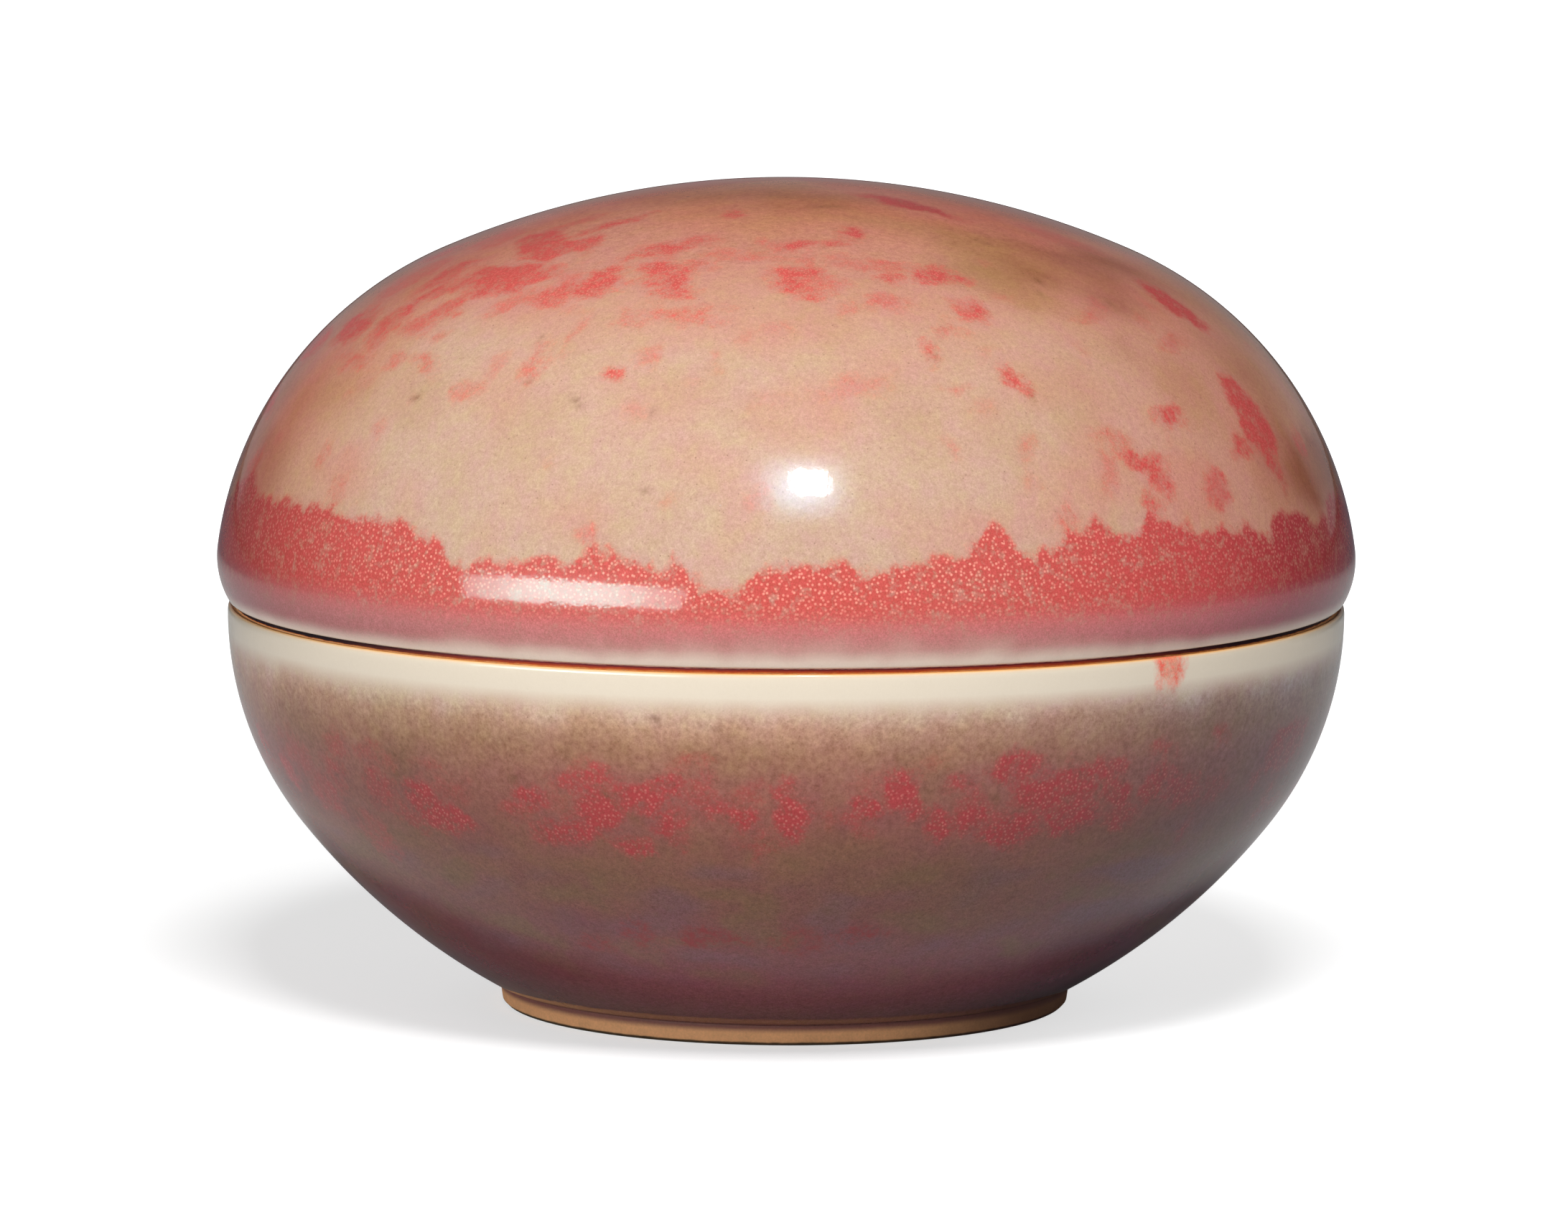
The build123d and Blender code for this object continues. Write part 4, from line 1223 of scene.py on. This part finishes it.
BUBBLE_TONE, SPECK_TONE = opaque(266, 184, 162), opaque(120, 80, 56)
ROSY, OCHRE, AS_IT_IS = (1.02, 0.93, 0.98, 1), (0.98, 1.00, 0.84, 1), (1, 1, 1, 1)
GRAIN_TINT = (0.9, 1.05, 1.35)  # the grain swings the blue more than the red


def mottled_glaze():
    made, tree, place = begin("mottled_red_glaze")
    grains = {name: grain(tree, place, size, stretch) for name, size, stretch in GRAINS}
    coarse, wander = stored(tree, "coarse"), stored(tree, "wander")

    def summed(start, shares):
        return total(tree, start, *[(grains[name], share) for name, share in shares])

    drift = put(tree, "Clamp", {"Value": summed(0.5, DRIFT)}).outputs[0]
    lean = mix(tree, wander, AS_IT_IS, mix(tree, drift, ROSY, OCHRE))
    ground = mix(tree, 1.0, stored(tree, "ground_tone", "Color"), lean, blend="MULTIPLY")
    swing = times(tree, grains["crumb"], total(tree, 0.03, (coarse, 0.20)))
    swing = total(tree, swing, (times(tree, grains["lumps"], coarse), 0.12))
    swing = times(tree, summed(swing, SWING), total(tree, 0.1, (wander, 0.9)))
    ground = shade(tree, ground, swing, GRAIN_TINT)
    specks = spots(tree, spots_tool, place, *SPECKS)
    ground = mix(tree, times(tree, specks, wander, 0.5), ground, SPECK_TONE)

    within = fade(tree, summed(stored(tree, "red_edge"), EDGE_GRAIN), *EDGE_SOFT)
    body = total(tree, 1.0, (summed(0.0, THIN_RED), wander))
    body = times(tree, body, stored(tree, "red_depth"), clamp=True)
    red = shade(tree, stored(tree, "red_tone", "Color"), summed(0.0, RED_SWING), GRAIN_TINT)
    dots = spots(tree, bubbles_tool, stored(tree, "skin_place", "Vector"), *BUBBLES)
    dots = times(tree, dots, stored(tree, "bubbles"))
    red = mix(tree, times(tree, dots, 0.9), red, BUBBLE_TONE)
    colour = mix(tree, times(tree, within, body), ground, red)

    pits = spots(tree, spots_tool, place, *PITS)
    relief = total(tree, summed(0.0, RELIEF), (pits, PIT_DEPTH), (dots, BUBBLE_HEIGHT))
    finish_surface(tree, colour, relief, 1.0, 0.07, Coat_Weight=0.18, Coat_Roughness=0.3)
    return made


glaze = mottled_glaze()
for piece in (cover_coat, bowl_coat):
    piece.data.materials.append(glaze)
print(glaze.name, "-", len(glaze.node_tree.nodes), "nodes")

# %% [markdown]
# Bare porcelain shows only at the seam, a hair's breadth of it, and on the foot ring. Where glaze
# stops, iron from the kiln stains the clay orange to brown. The stain is laid on by height, so it
# needs no marks. The dark wine band right at the seam is partly that stain and partly painted shade
# of the gap between cover and bowl, and the dark bottom edge of the foot is painted contact shade.
# Over it lie painted shade where the seam turns away at the sides, painted shade on the right end of
# the foot, and clean clay on the inner part of the seat. The cover's rim is nearly black.

# %% Material: bare porcelain
# The dark brown at the very bottom of the foot ring is painted contact shade, where the foot meets the
# table.
CLAY, BUFF, CONTACT_SHADE = opaque(226, 214, 196), opaque(228, 168, 118, 1.0), opaque(90, 70, 48)
STAIN, EMBER, PALE_STAIN = opaque(246, 140, 56, 1.0), opaque(196, 70, 34, 1.0), opaque(248, 196, 140, 1.0)
# The wine tone at the seam is partly iron stain and partly painted shade of the gap between cover and
# bowl.
WINE_AND_GAP_SHADE, PINK_EDGE, SEAM_SHADE = opaque(140, 44, 50, 1.0), opaque(240, 200, 196, 1.0), opaque(40, 20, 30, 1.0)
# The dark tone on the right end of the foot is painted shade, where the light falls off.
FOOT_GLAZE, FOOT_SHADE = opaque(142, 88, 80), opaque(92, 58, 50)
SEAM_SHADE_SIDES = (14 * MM, 29 * MM)  # from the middle, where painted shade darkens the seam
SEAM_SHADE_HEIGHT = (25.50 * MM, 25.55 * MM)  # above the table, where the painted shade begins
SEAT_CLEAN = (34.7 * MM, 34.1 * MM)  # from the axis: the stain keeps to the outer edge of the seat
SEAT_FLOOR, FOOT_TOP = 20 * MM, 2 * MM  # above the table: the seat lies above, the foot below
FOOT_SHADE_SIDE = (5 * MM, 16 * MM)  # to the right, where painted shade makes the foot as dark as its glaze
CLAY_ROUGH, CLAY_FINE = 0.9, 0.14  # sizes of the grain in mm


def porcelain(name, stops):
    """Clay with stains at (height in mm, tone) stops, broken up by grain."""
    made, tree, place = begin(name)
    rough, fine = grain(tree, place, CLAY_ROUGH), grain(tree, place, CLAY_FINE)
    across, _, height = put(tree, "SeparateXYZ", {0: place}).outputs
    height = total(tree, height, (rough, 0.03 * MM))
    colour = stops[0][1]
    for (low, _), (high, tone) in zip(stops, stops[1:]):
        colour = mix(tree, fade(tree, height, low * MM, high * MM), colour, tone)
    level = put(tree, "VectorMath", {0: place, 1: (1, 1, 0)}, operation="MULTIPLY").outputs[0]
    out = put(tree, "VectorMath", {0: level}, operation="LENGTH").outputs["Value"]
    aside = fade(tree, calc(tree, "ABSOLUTE", across), *SEAM_SHADE_SIDES)
    low_down = calc(tree, "LESS_THAN", height, FOOT_TOP)
    seat = calc(tree, "GREATER_THAN", height, SEAT_FLOOR)
    for amount, tone in (
        # Painted shade, near black, on the seam where it turns away at the left and right.
        (times(tree, aside, fade(tree, height, *SEAM_SHADE_HEIGHT)), SEAM_SHADE),
        # Painted shade on the right end of the foot.
        (times(tree, fade(tree, across, *FOOT_SHADE_SIDE), low_down, 0.8), FOOT_SHADE),
        (times(tree, fade(tree, out, *SEAT_CLEAN), seat), CLAY),
    ):
        colour = mix(tree, amount, colour, tone)
    colour = shade(tree, colour, total(tree, 0.0, (rough, 0.08), (fine, 0.10)))
    finish_surface(tree, colour, fine, 0.004, 0.6)
    return made


dress("box_body", porcelain("box_porcelain", (
    # At the bottom: painted contact shade where the foot meets the table.
    (0.0, CONTACT_SHADE), (0.12, CONTACT_SHADE), (0.28, BUFF), (0.72, BUFF), (1.18, FOOT_GLAZE),
    (1.6, FOOT_GLAZE), (2.4, CLAY), (24.6, CLAY), (25.2, PALE_STAIN),
    # Wine at the seam: partly iron stain, partly painted shade of the gap under the cover.
    (25.46, PALE_STAIN), (25.51, STAIN), (25.57, EMBER), (25.61, EMBER), (25.66, WINE_AND_GAP_SHADE),
    (26.0, WINE_AND_GAP_SHADE), (26.3, CLAY),
)))
dress("cover_body", porcelain("cover_porcelain", (
    # On the cover's rim the wine tone is partly iron stain, partly painted shade of the gap at the seam.
    (25.66, WINE_AND_GAP_SHADE), (25.70, WINE_AND_GAP_SHADE), (25.75, PINK_EDGE), (26.1, PINK_EDGE), (27.2, CLAY),
)))
print("porcelain on the box and the cover")

# %% [markdown]
# The linings and the base have a cold, slightly green white glaze with a few specks of iron.

# %% Material: white glaze
WHITE = (0.74, 0.76, 0.72, 1)
PINHOLES = (2.2, 0.10, 0.5)


def white_glaze():
    made, tree, place = begin("white_glaze")
    cloud, fine = grain(tree, place, 3.0), grain(tree, place, 0.3)
    colour = shade(tree, WHITE, times(tree, cloud, 0.03))
    specks = spots(tree, spots_tool, place, *PINHOLES)
    colour = mix(tree, times(tree, specks, 0.6), colour, SPECK_TONE)
    finish_surface(tree, colour, total(tree, cloud, (fine, 0.2)), 0.003, 0.09)
    return made


lining = white_glaze()
for node in ("box_lining_glaze", "base_glaze", "cover_lining_glaze"):
    dress(node, lining)
print(lining.name, "on the linings and the base")

# %% [markdown]
# Inside lies the cake of seal paste: cinnabar and oil worked into a felt of fine plant fibre. It is
# kneaded with a spatula into a dome, so it is a turned bun whose surface is pushed inward by noise
# and by broad strokes. Pushing it only inward keeps it within the solid that it replaces.

# %% Seal paste
BUN_RADIUS, BUN_BELLY, BUN_SIDE = 22.0, 11.6, 5.6
BUN_CROWN_ANGLE, BUN_TUCK_ANGLE = 64.0, -40.0
BUN_STEPS = 200
BUN_SKIN = 0.05  # mm by which the whole bun stays inside its solid
KNEADING = ((9.0, 0.45), (3.0, 0.28), (0.9, 0.10))  # size of the lumps and their depth, in mm
KNIFE_STROKES = ((-5, 3, 15, 2.2, 0.7, 28), (6, -2, 14, 2.0, 0.6, 24), (2, 9, 12, 1.8, 0.5, 33))
TOP_STEPS, SIDE_STEPS = 60, 36

side = bend_from((BUN_RADIUS, BUN_BELLY), BUN_SIDE, 0, BUN_CROWN_ANGLE)
side_top = side.point(BUN_CROWN_ANGLE)
top = bend_from(side_top, side_top[0] / cos(radians(BUN_CROWN_ANGLE)), BUN_CROWN_ANGLE, 90)

bm = bmesh.new()
vertex = draw_chain(bm, top.point(90, BUN_SKIN), (
    (top.centre, BUN_CROWN_ANGLE - 90, TOP_STEPS),
    (side.centre, BUN_TUCK_ANGLE - BUN_CROWN_ANGLE, SIDE_STEPS),
))
under = bmesh.ops.extrude_vert_indiv(bm, verts=[vertex])["verts"][0]
under.co = Vector((0, 0, under.co.z))
turn(bm, BUN_STEPS)
bm.normal_update()
for vertex in bm.verts:
    point = vertex.co / MM
    push = 0.0
    for size, depth in KNEADING:
        push += depth * (0.5 + 0.5 * noise.noise(point / size))
    for x, y, half_x, half_y, depth, tilt in KNIFE_STROKES:
        c, s = cos(radians(tilt)), sin(radians(tilt))
        across = (c * (point.x - x) + s * (point.y - y)) / half_x
        along = (c * (point.y - y) - s * (point.x - x)) / half_y
        push += depth * max(0.0, 1 - across**2 - along**2) ** 0.5 * max(0.0, vertex.normal.z)
    vertex.co -= vertex.normal * (push * MM)
bm.normal_update()
paste_cake = finish_mesh(bm, "paste_cake")
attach(paste_cake, "box")
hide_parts("seal_paste")

# %% Material: seal paste
VERMILION, FIBRE = opaque(214, 40, 24), opaque(232, 92, 58)


def paste_finish():
    made, tree, place = begin("vermilion_paste")
    lumps, fibres = grain(tree, place, 1.6), grain(tree, place, 0.22, 0.25)
    colour = mix(tree, fade(tree, fibres, 0.1, 0.9, 0.0, 0.5), VERMILION, FIBRE)
    colour = shade(tree, colour, times(tree, lumps, 0.12))
    gloss = fade(tree, lumps, -0.6, 0.8, 0.32, 0.55)
    finish_surface(tree, colour, total(tree, lumps, (fibres, 0.4)), 0.05, gloss)
    return made


paste_cake.data.materials.append(paste_finish())
print("paste top at", round(max(v.co.z for v in paste_cake.data.vertices) / MM, 2), "mm")
